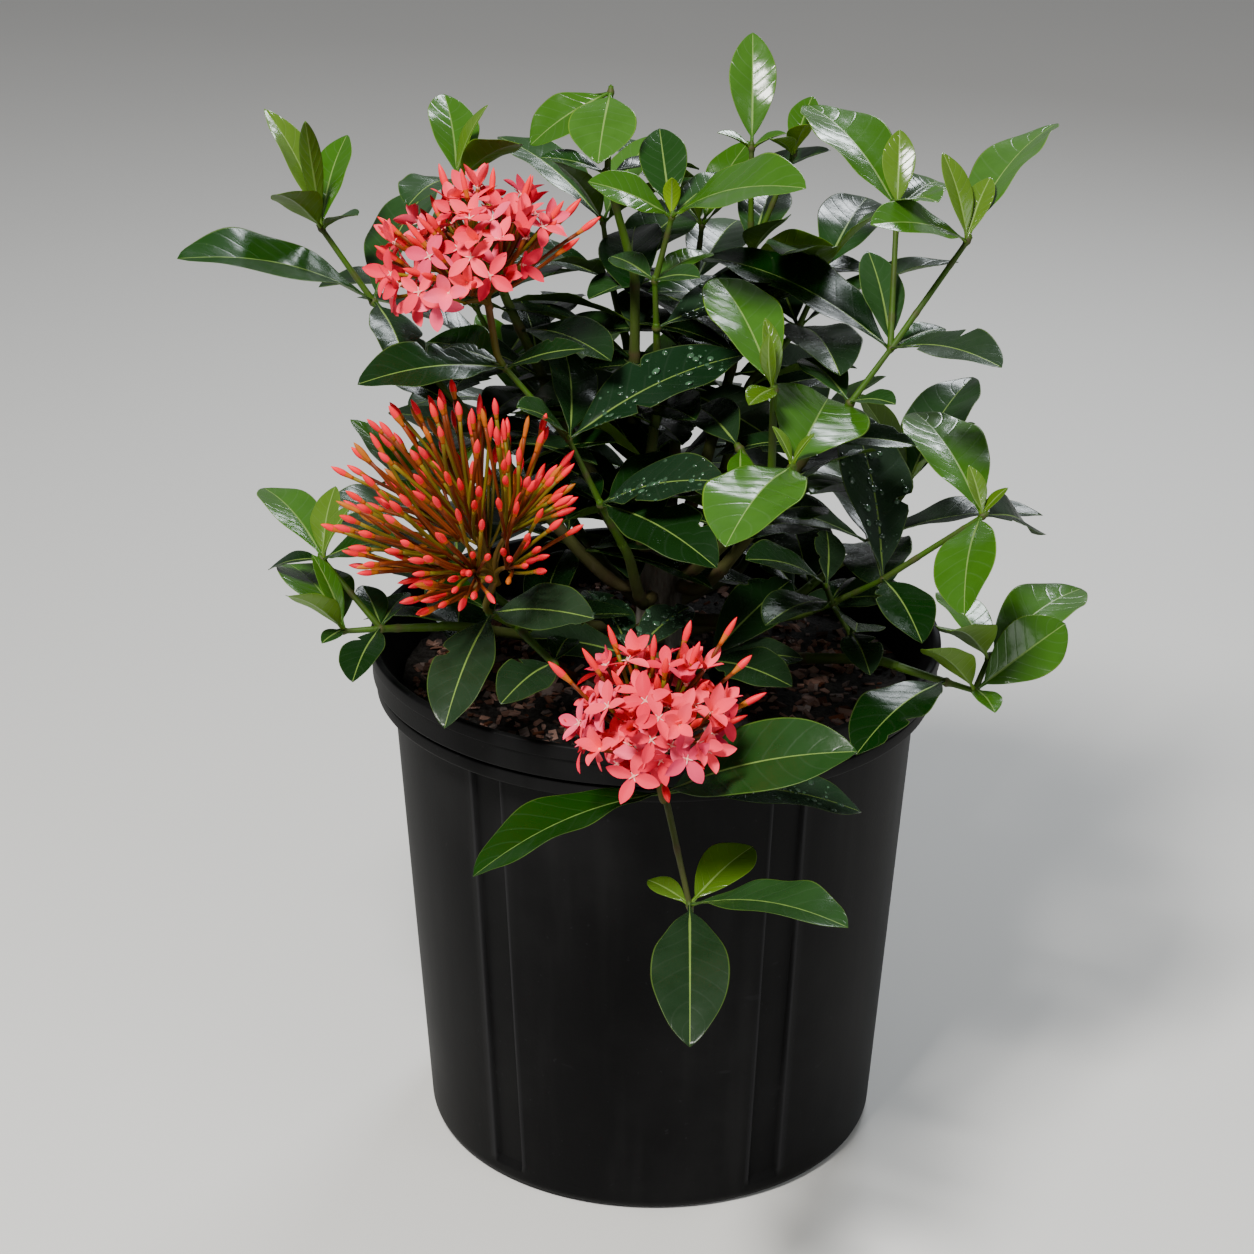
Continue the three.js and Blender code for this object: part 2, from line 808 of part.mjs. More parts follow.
function stalkStart(head) {
  const mass = FOLIAGE.find(({ name }) => name === head.on[0]);
  const path = twigPath(mass, mass.nodes[head.on[1]]);
  const end = path[path.length - 1];
  const before = path[path.length - 2];
  const toHub = vector(head.hub).sub(end).normalize();
  const onward = end.clone().sub(before).normalize().add(toHub).normalize();
  return [1, 2].map((step) => end.clone().addScaledVector(onward, GAP + HEAD.stalkRadius * step));
}

function flowerHead(head) {
  const random = seeded(head.seed);
  const hub = vector(head.hub);
  const core = new THREE.IcosahedronGeometry(HEAD.hubRadius, 0);
  core.translate(hub.x, hub.y, hub.z);
  const stalk = limb([...stalkStart(head), hub], tapering(TWIG.tipRadius, HEAD.stalkRadius), 5, 4);
  const parts = [stalk, toSolid(core)];
  const points = domePoints(head, random);
  const budEvery = Math.floor(points.length / Math.max(1, head.buds));
  points.forEach((point, number) => {
    const foot = hub.clone().lerp(point, (HEAD.hubRadius * 0.5) / hub.distanceTo(point));
    if (head.open === 0 || (number % budEvery === 0 && number / budEvery < head.buds)) {
      const tip = hub.clone().lerp(point, head.open === 0 ? 1 : HEAD.budStandsOut);
      parts.push(bud(foot, tip));
    } else {
      parts.push(...floret(foot, point, random() * Math.PI));
    }
  });
  return join(parts);
}

// The whole plant

const plant = new THREE.Group();

function add(name, solid, finish) {
  const mesh = new THREE.Mesh(toGeometry(solid), new THREE.MeshStandardMaterial(finish));
  mesh.name = name;
  plant.add(mesh);
}

function addLimb(name, solid, finish) {
  place(solid, name);
  add(name, solid, finish);
}

addLimb('pot', pot(), COLOURS.pot);
addLimb('soil', soil(), COLOURS.soil);
addLimb('trunk', trunk(), COLOURS.bark);

const masses = [...FOLIAGE, ...farSide()];
for (const mass of masses) {
  addLimb(`bough_${mass.name}`, bough(mass), COLOURS.stem);
}
const twigs = new Map(masses.map((mass) => [mass, mass.nodes.map((node) => twig(mass, node))]));
for (const mass of masses) {
  for (const solid of twigs.get(mass)) {
    place(solid, mass.name);
  }
}
for (const head of HEADS) {
  addLimb(`flower_head_${head.name}`, flowerHead(head), head.open ? COLOURS.flower : COLOURS.buds);
}
for (const mass of masses) {
  add(`foliage_${mass.name}`, foliage(mass, twigs.get(mass)), COLOURS.leaf);
}

export default plant;
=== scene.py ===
# A potted ixora: an evergreen flowering shrub in a round black nursery pot.
# Lengths in the tables are millimetres, as in the part's source, and Blender's own are metres.

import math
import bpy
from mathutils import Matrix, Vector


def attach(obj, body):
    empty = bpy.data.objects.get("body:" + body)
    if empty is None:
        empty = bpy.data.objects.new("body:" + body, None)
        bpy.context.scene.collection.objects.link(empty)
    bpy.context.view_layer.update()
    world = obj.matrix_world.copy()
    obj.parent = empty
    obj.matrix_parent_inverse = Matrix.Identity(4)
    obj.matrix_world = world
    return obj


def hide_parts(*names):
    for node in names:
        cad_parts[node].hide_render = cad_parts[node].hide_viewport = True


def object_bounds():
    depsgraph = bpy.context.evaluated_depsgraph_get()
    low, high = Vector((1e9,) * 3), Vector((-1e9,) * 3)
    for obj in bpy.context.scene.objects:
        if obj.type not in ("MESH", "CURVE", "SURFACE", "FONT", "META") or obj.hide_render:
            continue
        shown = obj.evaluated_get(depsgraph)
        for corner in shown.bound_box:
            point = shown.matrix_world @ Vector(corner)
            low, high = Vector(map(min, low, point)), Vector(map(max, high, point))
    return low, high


bl_info = {
    "name": "Potted Ixora",
    "version": (1, 0, 0),
    "blender": (4, 5, 0),
    "location": "View3D > Sidebar > Ixora",
    "description": "Grows the ixora's limbs, leaves and flower heads, its pot and its potting mix",
    "category": "Object",
}

import bpy
import numpy as np
from bpy.props import FloatProperty, FloatVectorProperty, IntProperty, PointerProperty
from mathutils import Matrix, Vector
from mathutils.kdtree import KDTree

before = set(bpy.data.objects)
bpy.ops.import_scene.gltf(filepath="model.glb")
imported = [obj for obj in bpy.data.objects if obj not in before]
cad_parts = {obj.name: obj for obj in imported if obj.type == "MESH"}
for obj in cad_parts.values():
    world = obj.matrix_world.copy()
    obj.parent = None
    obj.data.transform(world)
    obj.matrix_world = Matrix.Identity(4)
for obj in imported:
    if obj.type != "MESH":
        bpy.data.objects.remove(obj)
CAD_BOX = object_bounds()
MM = 0.001


# The source's sizes

TRUNK = {"height": 84, "foot": 19, "radius": 12, "top": 9, "flare": 16, "lean": (4, -5)}
BOUGH = {"foot": 4.4, "tip": 2.9, "straight": 9, "seat": 0.45}
TWIG = {"foot": 2.6, "tip": 1.8, "young": 1.4, "collar": 3}
LEAF = {"width": 0.42, "arch": 0.08, "fold": 0.2, "widest": 0.55, "fullness": 0.72}
GAP = 0.3
TURNS = (0, 8, -8, 16, -16, 26, -26)
LIFTS = (0, 8, -8, 16, 26)
SHARES = (1, 0.85, 0.7)
MATCH = 0.3

# The masses of foliage, as in the source: root, the height at which the bough leaves the trunk, then
# nodes of place, the node grown from, leaves of heading, rise, length, roll and width share, and the
# age of each leaf: n new, b bright, m middle, d dark, w dark and wet, its colour greyed by painted sheen.
FOLIAGE = {
    "front": ((4, -128, 277), 258, (
        ((5, -165, 249), None, ((-143, -11, 94, 6), (-22, 23, 94, 32), (22, -12, 92, 6)), "mmw"),
        ((17, -182, 203), 0, (
            (-90, -18, 80, 0), (-39, 13, 86, 0), (50, 15, 45, 12, 0.5), (135, 5, 26, -15)), "dmnn"),
    )),
    "mid_right": ((50, -62, 350), 296, (
        ((59, -110, 383), None, (
            (76, 4, 80, 20, 0.58), (-111, -4, 84, 0, 0.5), (150, 60, 20, 0, 0.4),
            (30, 65, 18, 0, 0.4)), "bbnn"),
        ((51, -80, 410), None, (
            (109, 21, 82, 0), (120, 74, 32, 0, 0.3), (30, 74, 28, 0, 0.3), (-113, 5, 30, -12)), "bnnn"),
        ((36, -52, 372), None, ((109, 0, 61, -15), (-91, -20, 28, 0)), "db"),
    )),
    "right": ((74, -37, 285), 268, (
        ((85, -41, 291), None, ((-122, 10, 63, -3), (70, 2, 30, -15)), "dd"),
        ((107, -50, 307), 0, ((101, 38, 96, 21), (-77, -5, 62, 3)), "wd"),
        ((150, -60, 343), 1, (
            (107, 14, 88, 0), (-101, -16, 72, 24), (120, 60, 24, 0, 0.4),
            (30, 40, 18, 0, 0.4), (60, -25, 66, 30)), "bbnnd"),
        ((78, -58, 306), 0, ((88, 24, 37, 21), (-134, 28, 63, -21)), "dd"),
        ((93, -43, 273), 0, ((-108, 24, 62, -21), (-82, -1, 46, 3)), "dd"),
    )),
    "right_low": ((112, -68, 270), 250, (
        ((136, -80, 267), None, ((-124, -4, 80, 3),), "d"),
        ((149, -85, 265), 0, ((33, 23, 56, 44, 0.52), (-131, 40, 52, 20), (-79, 6, 31, -3)), "bbb"),
        ((154, -70, 278), 1, ((42, 8, 78, 6), (-132, 33, 63, 15), (108, 10, 58, 12)), "bbb"),
    )),
    "right_top": ((80, -38, 378), 284, (
        ((89, -40, 390), None, ((114, 8, 49, -3), (-57, 16, 35, 15)), "mm"),
        ((107, -30, 413), 0, (
            (-54, 9, 75, 9), (140, 11, 114, 0), (105, 45, 51, 6), (40, 5, 35, 9)), "ddmm"),
        ((141, -10, 458), 1, (
            (55, 26, 89, -21), (-138, 17, 66, -24), (125, 62, 42, 0, 0.35), (60, 55, 34, 0, 0.4)), "bbnn"),
        ((108, 0, 470), 1, (
            (116, 19, 92, 3), (-65, 3, 51, 12), (61, 4, 46, 12, 0.5), (86, 60, 38, 0, 0.4)), "bbbn"),
    )),
    "top_middle": ((0, -10, 392), 310, (
        ((-1, -18, 418), None, ((2, 5, 88, 10),), "w"),
        ((-2, -20, 441), 0, ((126, 6, 35, -15), (51, 6, 42, 3), (-52, 17, 34, 24)), "mbm"),
        ((6, -20, 471), 1, (
            (-49, 20, 92, 27), (-165, 26, 43, -35, 0.5), (98, 36, 52, -10),
            (48, 14, 48, 0), (-90, 78, 20, 0, 0.4)), "bbmmn"),
    )),
    "top_back": ((-14, 18, 440), 311, (
        ((-25, 12, 482), None, ((188, 16, 32, -12, 0.5), (38, -6, 54, 0)), "mm"),
        ((-23, 30, 516), 0, (
            (-97, -30, 46, 0, 0.68), (197, -30, 44, -25, 0.6), (120, -30, 30, 0, 0.5)), "bbm"),
    )),
    "top_right": ((40, 50, 400), 313, (
        ((44, 56, 432), None, ((-60, 40, 40, 6, 0.6), (-18, 20, 42, -35, 0.6), (78, 19, 62, 6)), "mbm"),
        ((43, 56, 484), 0, ((90, 62, 56, 0, 0.4), (180, 25, 18, 0, 0.7), (0, 25, 18, 0, 0.7)), "bbb"),
        ((64, 60, 480), 0, ((-140, 35, 30, 9), (-69, 43, 29, 3), (60, 50, 34, 0)), "bnb"),
    )),
    "left_top": ((-104, -28, 398), 284, (
        ((-132, -15, 428), None, (
            (-139, 21, 110, -18, 0.37), (69, 29, 83, -21), (-70, -17, 60, -12)), "mmd"),
        ((-155, -10, 461), 0, (
            (146, 58, 60, 0, 0.32), (-100, 70, 58, 20, 0.17), (96, 60, 67, -15, 0.46),
            (-115, 35, 43, 18, 0.5), (-35, 25, 24, 0, 0.7)), "nmbbm"),
    )),
    "middle": ((-16, -48, 322), 280, (
        ((-26, -60, 347), None, (
            (-51, -3, 82, 15), (-38, 22, 75, 27), (48, 4, 62, 12), (110, 3, 36, -6)), "dwdd"),
        ((-41, -58, 378), 0, ((26, 18, 92, 12), (95, 24, 64, 30), (-123, 34, 48, -33)), "wdm"),
        ((-70, -52, 409), 1, (
            (-148, 4, 74, -20), (140, 2, 50, -15, 0.6), (-10, 18, 38, 20), (180, 25, 30, 0)), "dmdd"),
    )),
    "left_front": ((-60, -62, 284), 262, (
        ((-76, -80, 300), None, ((-106, -24, 70, 4), (-40, 14, 64, 33), (150, 10, 60, 0)), "ddm"),
        ((-44, -106, 285), None, ((-112, 4, 56, -15), (81, -4, 35, 6)), "dd"),
    )),
    "left": ((-100, -60, 284), 254, (
        ((-128, -75, 289), None, (
            (-103, -12, 42, 9, 0.5), (117, 30, 26, 6, 0.6), (80, 28, 26, -12, 0.6)), "dmm"),
        ((-145, -76, 288), 0, (
            (123, 14, 57, 12, 0.65), (150, 64, 38, -12, 0.3), (-125, 39, 47, 18),
            (-114, 5, 20, -12)), "bbbm"),
        ((-154, -60, 319), 0, (
            (122, 13, 65, 6), (-39, 23, 52, 27), (80, 50, 36, -24, 0.45),
            (-20, 55, 30, 20, 0.45), (150, -20, 34, -10)), "bmnnd"),
    )),
    "low_middle": ((-16, -42, 258), 248, (
        ((-10, -62, 271), None, ((106, 13, 56, 12), (-150, 16, 52, -30), (73, 9, 51, 9)), "wdw"),
    )),
    "low_right": ((24, -42, 258), 248, (
        ((24, -62, 269), None, ((50, 3, 66, 24), (-48, 7, 57, 21), (10, -2, 46, 18)), "ddd"),
    )),
    "top_left": ((-72, 8, 424), 316, (
        ((-95, 20, 476), None, (
            (102, 40, 50, 15, 0.5), (60, 55, 38, -15, 0.4), (-49, 30, 54, -21), (-107, 4, 60, 0)), "bnbm"),
    )),
}

# The far side's two rings of shoots, with the ages of a shoot's leaves. The high ring's ages are darkened
# as painted shade, for the shadow at the back of the crown.
FAR_RINGS = (
    {"name": "back_low", "count": 5, "from": 18, "to": 164, "reach": 126, "height": 322, "leaves": 256,
     "lengths": (92, 88, 60), "ages_and_shade": ("dddm", "mbbn")},
    {"name": "back_high", "count": 4, "from": 32, "to": 150, "reach": 88, "height": 424, "leaves": 290,
     "lengths": (88, 84, 54), "ages_and_shade": ("ddmm", "mmbm")},
)
FAR_SEED = 20
FAR_SHOOT = {
    "stagger": 12, "root_share": 0.62, "root_drop": 46, "node_drop": 26, "node_share": 0.86, "spread": 10,
    "heading": 6, "turn": 40, "rise": 8, "shorter": 0.12, "roll": 12}

# The turn and the rise of the two pairs of leaves at each shoot's lower node and at its upper one
FAR_PAIRS = (((90, 2), (0, 14)), ((60, 18), (-30, 52)))

# Leaves inside the crown, in crossed pairs along the boughs
INNER = {
    "spacing": 9, "first": 0.24, "last": 0.97, "lengths": (46, 78), "rises": (-16, 26), "turn": 12,
    "roll": 14, "front": -60, "above_soil": 34, "inside": 4, "apart": 3.8}

# The flower heads, as in the source, with how many florets and buds they have in life, the share of
# paler florets, whose pale petals are a painted highlight for sunlit ones, and the heading, rise and length
# of each bud that stands out from the head
HEADS = {
    "left": {
        "on": ("middle", 2), "hub": (-76, -48, 436), "heading": 200, "rise": 66, "offset": 26,
        "across": 41, "along": 26, "lowest": 96, "open": 58, "buds": 18, "seed": 3, "pale": 0.4,
        "strays": (
            (155, 68, 65), (180, 80, 62), (79, 80, 60), (180, 39, 62), (27, 68, 60),
            (0, 39, 64), (14, 47, 62), (0, 54, 58), (-18, 51, 53), (-14, 38, 54)),
    },
    "front": {
        "on": ("front", 0), "hub": (0, -167, 272), "heading": -100, "rise": 66, "offset": 22,
        "across": 34, "along": 26, "lowest": 96, "open": 66, "buds": 9, "seed": 5, "pale": 0.16,
        "strays": (
            (154, 68, 60), (180, 58, 58), (180, 43, 62), (34, 73, 61), (16, 59, 70),
            (0, 70, 56), (0, 32, 56), (14, 45, 60), (-76, -18, 30), (0, 25, 44)),
    },
    "buds": {
        "on": ("left_front", 0), "hub": (-72, -84, 318), "heading": 205, "rise": 64, "offset": 42,
        "across": 56, "along": 52, "lowest": 122, "open": 0, "buds": 196, "seed": 7, "strays": ()},
}
HEAD = {
    "stalk": 2, "scar_spacing": 60, "uneven": 0.12, "petal": 11.5, "bud": 13.5, "young_bud": 10.5,
    "tube": 0.9}
GOLDEN_ANGLE = math.pi * (3 - math.sqrt(5))

POT = {
    "height": 258, "lip": 138, "foot": 112, "shoulder": 127, "rim": 26, "wall": 3.6, "floor": 4,
    "rounding": 4, "chamfer": 1.2, "under_lap": 6, "floor_lap": 8, "sharp_above": 38}
RIM = {
    "lip_band": 6.6, "middle_band": 11, "step": 1.2, "groove": 2.4, "groove_height": 1.6, "taper": 3,
    "rounding": 1.3}
# The channels pressed into the wall. The last pair sets the band at each channel's edge that is lightened
# as a painted highlight.
CHANNEL = {
    "left": -127.5, "right": -60.5, "behind": 3, "width": 16, "depth": 2, "foot": 10,
    "end": (-2, 3), "edge": (-0.7, 0.5), "bead": (1.2, 0.8), "bead_height": 0.35, "edge_highlight": (0.9, 0.7)}
SHOULDER = POT["height"] - POT["rim"]
DRAIN = {
    "count": 6, "radius": 7, "circle": 66, "sides": 24, "from_foot": 3, "plate_from": 2.4,
    "plate_lift": 0.02, "plate_sides": 72}
SOIL = {
    "below_lip": 18, "crown": 5, "settled": 1.2, "smooth": 12, "clearance": 0.7, "sides": 120, "rings": 46,
    "innermost": 3, "grain": 0.35}
SOIL_TOP = POT["height"] - SOIL["below_lip"]
SOIL_EDGE = SHOULDER - 5
TRUNK_FOOT = SOIL_TOP + GAP

# The camera, as fitted to the pot's rim and foot
CAMERA = {"place": (0, -1300, 820), "down": 23.34, "left": 0.6, "roll": 0.4, "lens": 83.97}

# Each light's place, the point that it faces, its size and its colour
LIGHTS = {
    "key": ((-0.5, -1.05, 1.85), (0, 0, 0.32), (0.4, 0.4), (1, 0.97, 0.92)),
    "back": ((0.45, 1.3, 1.35), (0, 0, 0.4), (0.5, 0.3), (0.9, 0.95, 1)),
    "fill": ((1.4, -1.1, 0.9), (0, 0, 0.3), (0.9, 0.9), (1, 1, 1)),
}
SKY_COLOUR = (0.97, 0.98, 1.0, 1)
FLOOR_REACH = 9000

SEEDS = {"limbs": 11, "leaves": 29, "soil": 5}

# Random phases and turns lie between these, in radians
ANY_TURN = (0, 6.3)


# Colours and settings

def tint(red, green, blue):
    """A colour seen as 0 to 255, as Blender's linear one."""
    seen = np.array([red, green, blue]) / 255
    linear = np.where(seen <= 0.04045, seen / 12.92, ((seen + 0.055) / 1.055) ** 2.4)
    return tuple(float(value) for value in linear)


def colour_setting(name, description, *seen):
    return FloatVectorProperty(
        name=name, description=description, subtype="COLOR", size=3, min=0, max=1, default=tint(*seen))


def share_setting(name, description, default):
    return FloatProperty(
        name=name, description=description, subtype="FACTOR", min=0, max=1, default=default)


def power_setting(name, description, default):
    return FloatProperty(name=name, description=description, unit="POWER", min=0, default=default)


class IXORA_PG_limbs(bpy.types.PropertyGroup):
    bark: colour_setting("Bark", "Colour of the trunk and the old boughs", 72, 62, 38)
    stem: colour_setting("Stem", "Colour of the green stems", 50, 82, 8)
    peduncle: colour_setting("Flower stalk", "Colour of the flower heads' stalks", 104, 54, 24)
    slim: share_setting("Slimness", "Share of the source's thickness that boughs keep", 0.74)
    twig_slim: share_setting("Twig slimness", "Share of the source's thickness that twigs keep", 0.85)
    scar_spacing: FloatProperty(
        name="Scar spacing", description="Distance between two leaf scars on a bough",
        subtype="DISTANCE", unit="LENGTH", min=0.01, max=0.2, default=0.034)


class IXORA_PG_leaves(bpy.types.PropertyGroup):
    new: colour_setting("New leaf", "Upper side of a leaf that has just opened", 70, 104, 0)
    bright: colour_setting("Bright leaf", "Upper side of this season's leaves", 48, 94, 0)
    middle: colour_setting("Middle leaf", "Upper side of a full-grown leaf", 15, 56, 0)
    dark: colour_setting("Dark leaf", "Upper side of an old leaf", 5, 38, 2)
    # The wet leaf's greyer, bluer green is partly painted sheen: the gleam that rain gives old leaves.
    wet: colour_setting("Wet leaf", "Upper side of an old leaf wetted by rain", 9, 39, 14)
    under: colour_setting("Underside", "Pale lower side of an old leaf", 92, 128, 36)
    # The young underside's brightness is partly painted light: the glow of sun shining through thin young
    # leaves.
    new_under_with_glow: colour_setting("New underside", "Lower side of a young leaf", 118, 156, 4)
    midrib: colour_setting("Midrib", "Midrib of an old leaf", 122, 160, 20)
    drop: colour_setting("Water drops", "Colour of the drops on wet leaves", 60, 90, 66)
    gloss: share_setting("Gloss", "How strongly the wax on the leaves mirrors light", 0.28)
    thickness: FloatProperty(
        name="Thickness", description="Thickness of a leaf's blade",
        subtype="DISTANCE", unit="LENGTH", min=0.0002, max=0.003, default=0.0006)


class IXORA_PG_flowers(bpy.types.PropertyGroup):
    petal: colour_setting("Petal", "Colour of most petals", 255, 9, 68)
    # The pale petal colour is painted light: it stands for petals lit by the sun, and the upper head has
    # most of them.
    petal_pale: colour_setting("Pale petal", "Colour of the petals that have opened longest", 255, 60, 108)
    bud: colour_setting("Bud", "Colour of the buds' tips", 240, 25, 34)
    bud_orange: colour_setting("Orange bud", "Colour of the lower part of the buds", 200, 98, 26)
    tube: colour_setting("Tube", "Colour of the slender tubes", 124, 52, 10)
    tube_olive: colour_setting("Olive tube", "Colour of the tubes of the youngest buds", 122, 104, 12)
    eye: colour_setting("Eye", "Colour of the throat and the stamens", 240, 136, 116)


class IXORA_PG_pot(bpy.types.PropertyGroup):
    plastic: colour_setting("Plastic", "Colour of the pot", 8, 8, 9)
    # The scuff colour marks specks and scratches, and it also paints the highlight along the channels'
    # edges.
    scuff_and_edge_highlight: colour_setting("Scuffs", "Colour where the pot is rubbed", 42, 42, 44)
    mix: colour_setting("Potting mix", "Colour of the damp mix", 15, 8, 4)
    chip: colour_setting("Bark chips", "Colour of the chips that show on top", 98, 50, 20)
    chips: IntProperty(
        name="Chips", description="How many chips lie on the mix", min=0, max=3000, default=1200)


class IXORA_PG_stage(bpy.types.PropertyGroup):
    floor: colour_setting("Floor", "Colour of the floor", 214, 214, 212)
    sky: FloatProperty(name="Ambient", description="Strength of the even light", min=0, max=5, default=0.24)
    key: power_setting("Key light", "Power of the main light", 72)
    back: power_setting("Back light", "Power of the light behind", 15)
    fill: power_setting("Fill light", "Power of the weak side light", 8)
    lens: FloatProperty(
        name="Lens", description="Focal length", subtype="DISTANCE_CAMERA", unit="CAMERA", min=1,
        default=CAMERA["lens"])


def limbs():
    return bpy.context.scene.ixora_limbs


def leaves():
    return bpy.context.scene.ixora_leaves


def flowers():
    return bpy.context.scene.ixora_flowers


def pot():
    return bpy.context.scene.ixora_pot


def stage():
    return bpy.context.scene.ixora_stage


# Shader expressions

class Field:
    """A number or a colour that varies over a surface, for use in Python expressions."""

    def __init__(self, shader, socket):
        self.shader = shader
        self.socket = socket

    def math(self, operation, *values):
        return self.shader.node("ShaderNodeMath", {"operation": operation}, dict(enumerate(values)))

    def __add__(self, other):
        return self.math("ADD", self, other)

    def __sub__(self, other):
        return self.math("SUBTRACT", self, other)

    def __rsub__(self, other):
        return self.math("SUBTRACT", other, self)

    def __mul__(self, other):
        return self.math("MULTIPLY", self, other)

    def __pow__(self, other):
        return self.math("POWER", self, other)

    def __abs__(self):
        return self.math("ABSOLUTE", self)

    __radd__ = __add__
    __rmul__ = __mul__

    def fraction(self):
        return self.math("FRACT", self)

    def step(self, low, high):
        """0 at low and 1 at high, with a smooth rise between them."""
        settings = {"interpolation_type": "SMOOTHSTEP"}
        sockets = {"Value": self, "From Min": low, "From Max": high}
        return self.shader.node("ShaderNodeMapRange", settings, sockets)


SOCKET_TITLES = {"specular": "Specular IOR Level"}


class Finish:
    """A material and the expressions that feed its surface."""

    def __init__(self, name):
        self.material = bpy.data.materials.new(name)
        self.material.use_nodes = True
        self.tree = self.material.node_tree
        self.surface = self.tree.nodes["Principled BSDF"]

    def node(self, kind, settings=None, inputs=None, output=0):
        made = self.tree.nodes.new(kind)
        for name, value in (settings or {}).items():
            setattr(made, name, value)
        for key, value in (inputs or {}).items():
            self.feed(made.inputs[key], value)
        return Field(self, made.outputs[output])

    def feed(self, socket, value):
        if isinstance(value, Field):
            self.tree.links.new(value.socket, socket)
        elif socket.type == "RGBA" and len(value) == 3:
            socket.default_value = (*value, 1)
        else:
            socket.default_value = value

    def mix(self, factor, first, second):
        """The first colour where factor is 0, the second where it is 1."""
        settings = {"data_type": "RGBA"}
        return self.node("ShaderNodeMix", settings, {0: factor, 6: first, 7: second}, 2)

    def place(self):
        return self.node("ShaderNodeTexCoord", output="Object")

    def along_and_across(self):
        """A blade's own share along it, from 0 to 1, and across it, from -1 to 1."""
        chart = self.node("ShaderNodeTexCoord", output="UV")
        across = self.node("ShaderNodeSeparateXYZ", None, {"Vector": chart}, "X")
        along = Field(self, across.socket.node.outputs["Y"])
        return along, across * 2 - 1

    def shade(self):
        """A number from 0 to 1 that a piece's points carry, such as the shade of one leaf."""
        return self.node("ShaderNodeAttribute", {"attribute_name": "shade"}, output="Fac")

    def noise(self, scale, detail=3, roughness=0.5, stretch=None):
        place = self.place()
        if stretch:
            place = self.node("ShaderNodeMapping", None, {"Vector": place, "Scale": stretch})
        inputs = {"Vector": place, "Scale": scale, "Detail": detail, "Roughness": roughness}
        return self.node("ShaderNodeTexNoise", None, inputs)

    def bump(self, height, distance, strength):
        sockets = {"Height": height, "Distance": distance, "Strength": strength}
        return self.node("ShaderNodeBump", None, sockets)

    def done(self, **sockets):
        for name, value in sockets.items():
            title = SOCKET_TITLES.get(name, name.replace("_", " ").title())
            self.feed(self.surface.inputs[title], value)
        return self.material


LICHEN = tint(128, 128, 96)
FIBRE = tint(70, 44, 26)


def lighter(colour, share):
    return tuple(value + (1 - value) * share for value in colour)


def darker(colour, share):
    return tuple(value * (1 - share) for value in colour)


def between(first, second, share):
    return tuple(a + (b - a) * share for a, b in zip(first, second))


# The leaves' finishes. Side veins leave the midrib in pairs and bend towards the tip.
VEINS = {"pairs": 9, "sweep": 0.17, "bend": 1.2, "offset": 0.35, "width": 0.1}


def vein_lines(along, across):
    """1 on a side vein and 0 between two."""
    away = abs(across)
    side = across.step(-0.01, 0.01) * VEINS["offset"]
    turn = ((along - away ** VEINS["bend"] * VEINS["sweep"]) * VEINS["pairs"] + side).fraction()
    return (abs(turn - 0.5) * 2).step(1 - VEINS["width"] * 2, 1)


def blade_finish(name, colour, old):
    """A leaf's upper side. old is 0 for a new leaf and 1 for the darkest."""
    finish = Finish(name)
    along, across = finish.along_and_across()
    veins = vein_lines(along, across)
    mottle = finish.noise(70, 4, 0.6)
    fine = finish.noise(420, 2)
    waves = finish.noise(34, 2, 0.4)
    base = finish.mix(finish.shade(), darker(colour, 0.22), lighter(colour, 0.015))
    base = finish.mix(mottle.step(0.35, 0.75) * 0.4, base, darker(colour, 0.35))
    base = finish.mix(veins * (0.1 - 0.06 * old), base, lighter(colour, 0.1))
    relief = fine * 0.04 + mottle * 0.3 + waves * 1.6 - veins * (0.1 - 0.05 * old)
    rough = 0.1 + 0.08 * old + mottle * 0.13 + fine * 0.05
    return finish.done(
        base_color=base, roughness=rough, specular=leaves().gloss * (1.5 - 0.85 * old),
        normal=finish.bump(relief, 0.001, 0.7))


def underside_finish(name, colour):
    finish = Finish(name)
    along, across = finish.along_and_across()
    veins = vein_lines(along, across)
    mottle = finish.noise(90, 4, 0.6)
    base = finish.mix(finish.shade(), darker(colour, 0.34), colour)
    base = finish.mix(mottle.step(0.3, 0.8) * 0.3, base, darker(colour, 0.3))
    base = finish.mix(veins * 0.14, base, lighter(colour, 0.1))
    relief = veins * 0.5 + mottle * 0.3
    return finish.done(
        base_color=base, roughness=0.55, specular=0.15, normal=finish.bump(relief, 0.0006, 0.4))


def rib_finish(name, colour):
    """A midrib's or a margin's plain colour, a little uneven along it."""
    finish = Finish(name)
    streaks = finish.noise(150, 3, 0.6)
    base = finish.mix(finish.shade() * 0.6 + streaks.step(0.35, 0.7) * 0.4, darker(colour, 0.3), colour)
    return finish.done(
        base_color=base, roughness=0.38, specular=0.2, normal=finish.bump(streaks, 0.0003, 0.3))


def drop_finish():
    finish = Finish("water drop")
    drop = tuple(leaves().drop)
    base = finish.mix(finish.shade(), darker(drop, 0.6), drop)
    return finish.done(base_color=base, roughness=0.05, specular=0.6)


def petal_finish(name, colour):
    finish = Finish(name)
    along, across = finish.along_and_across()
    base = finish.mix(finish.shade(), darker(colour, 0.3), lighter(colour, 0.06))
    streak = (along * 0.6 + abs(across) * 7).fraction().step(0.2, 0.9)
    base = finish.mix(streak * 0.1, base, darker(colour, 0.2))
    relief = streak * 0.5 + finish.noise(800, 2) * 0.5
    return finish.done(
        base_color=base, roughness=0.55, specular=0.12, normal=finish.bump(relief, 0.0003, 0.3))


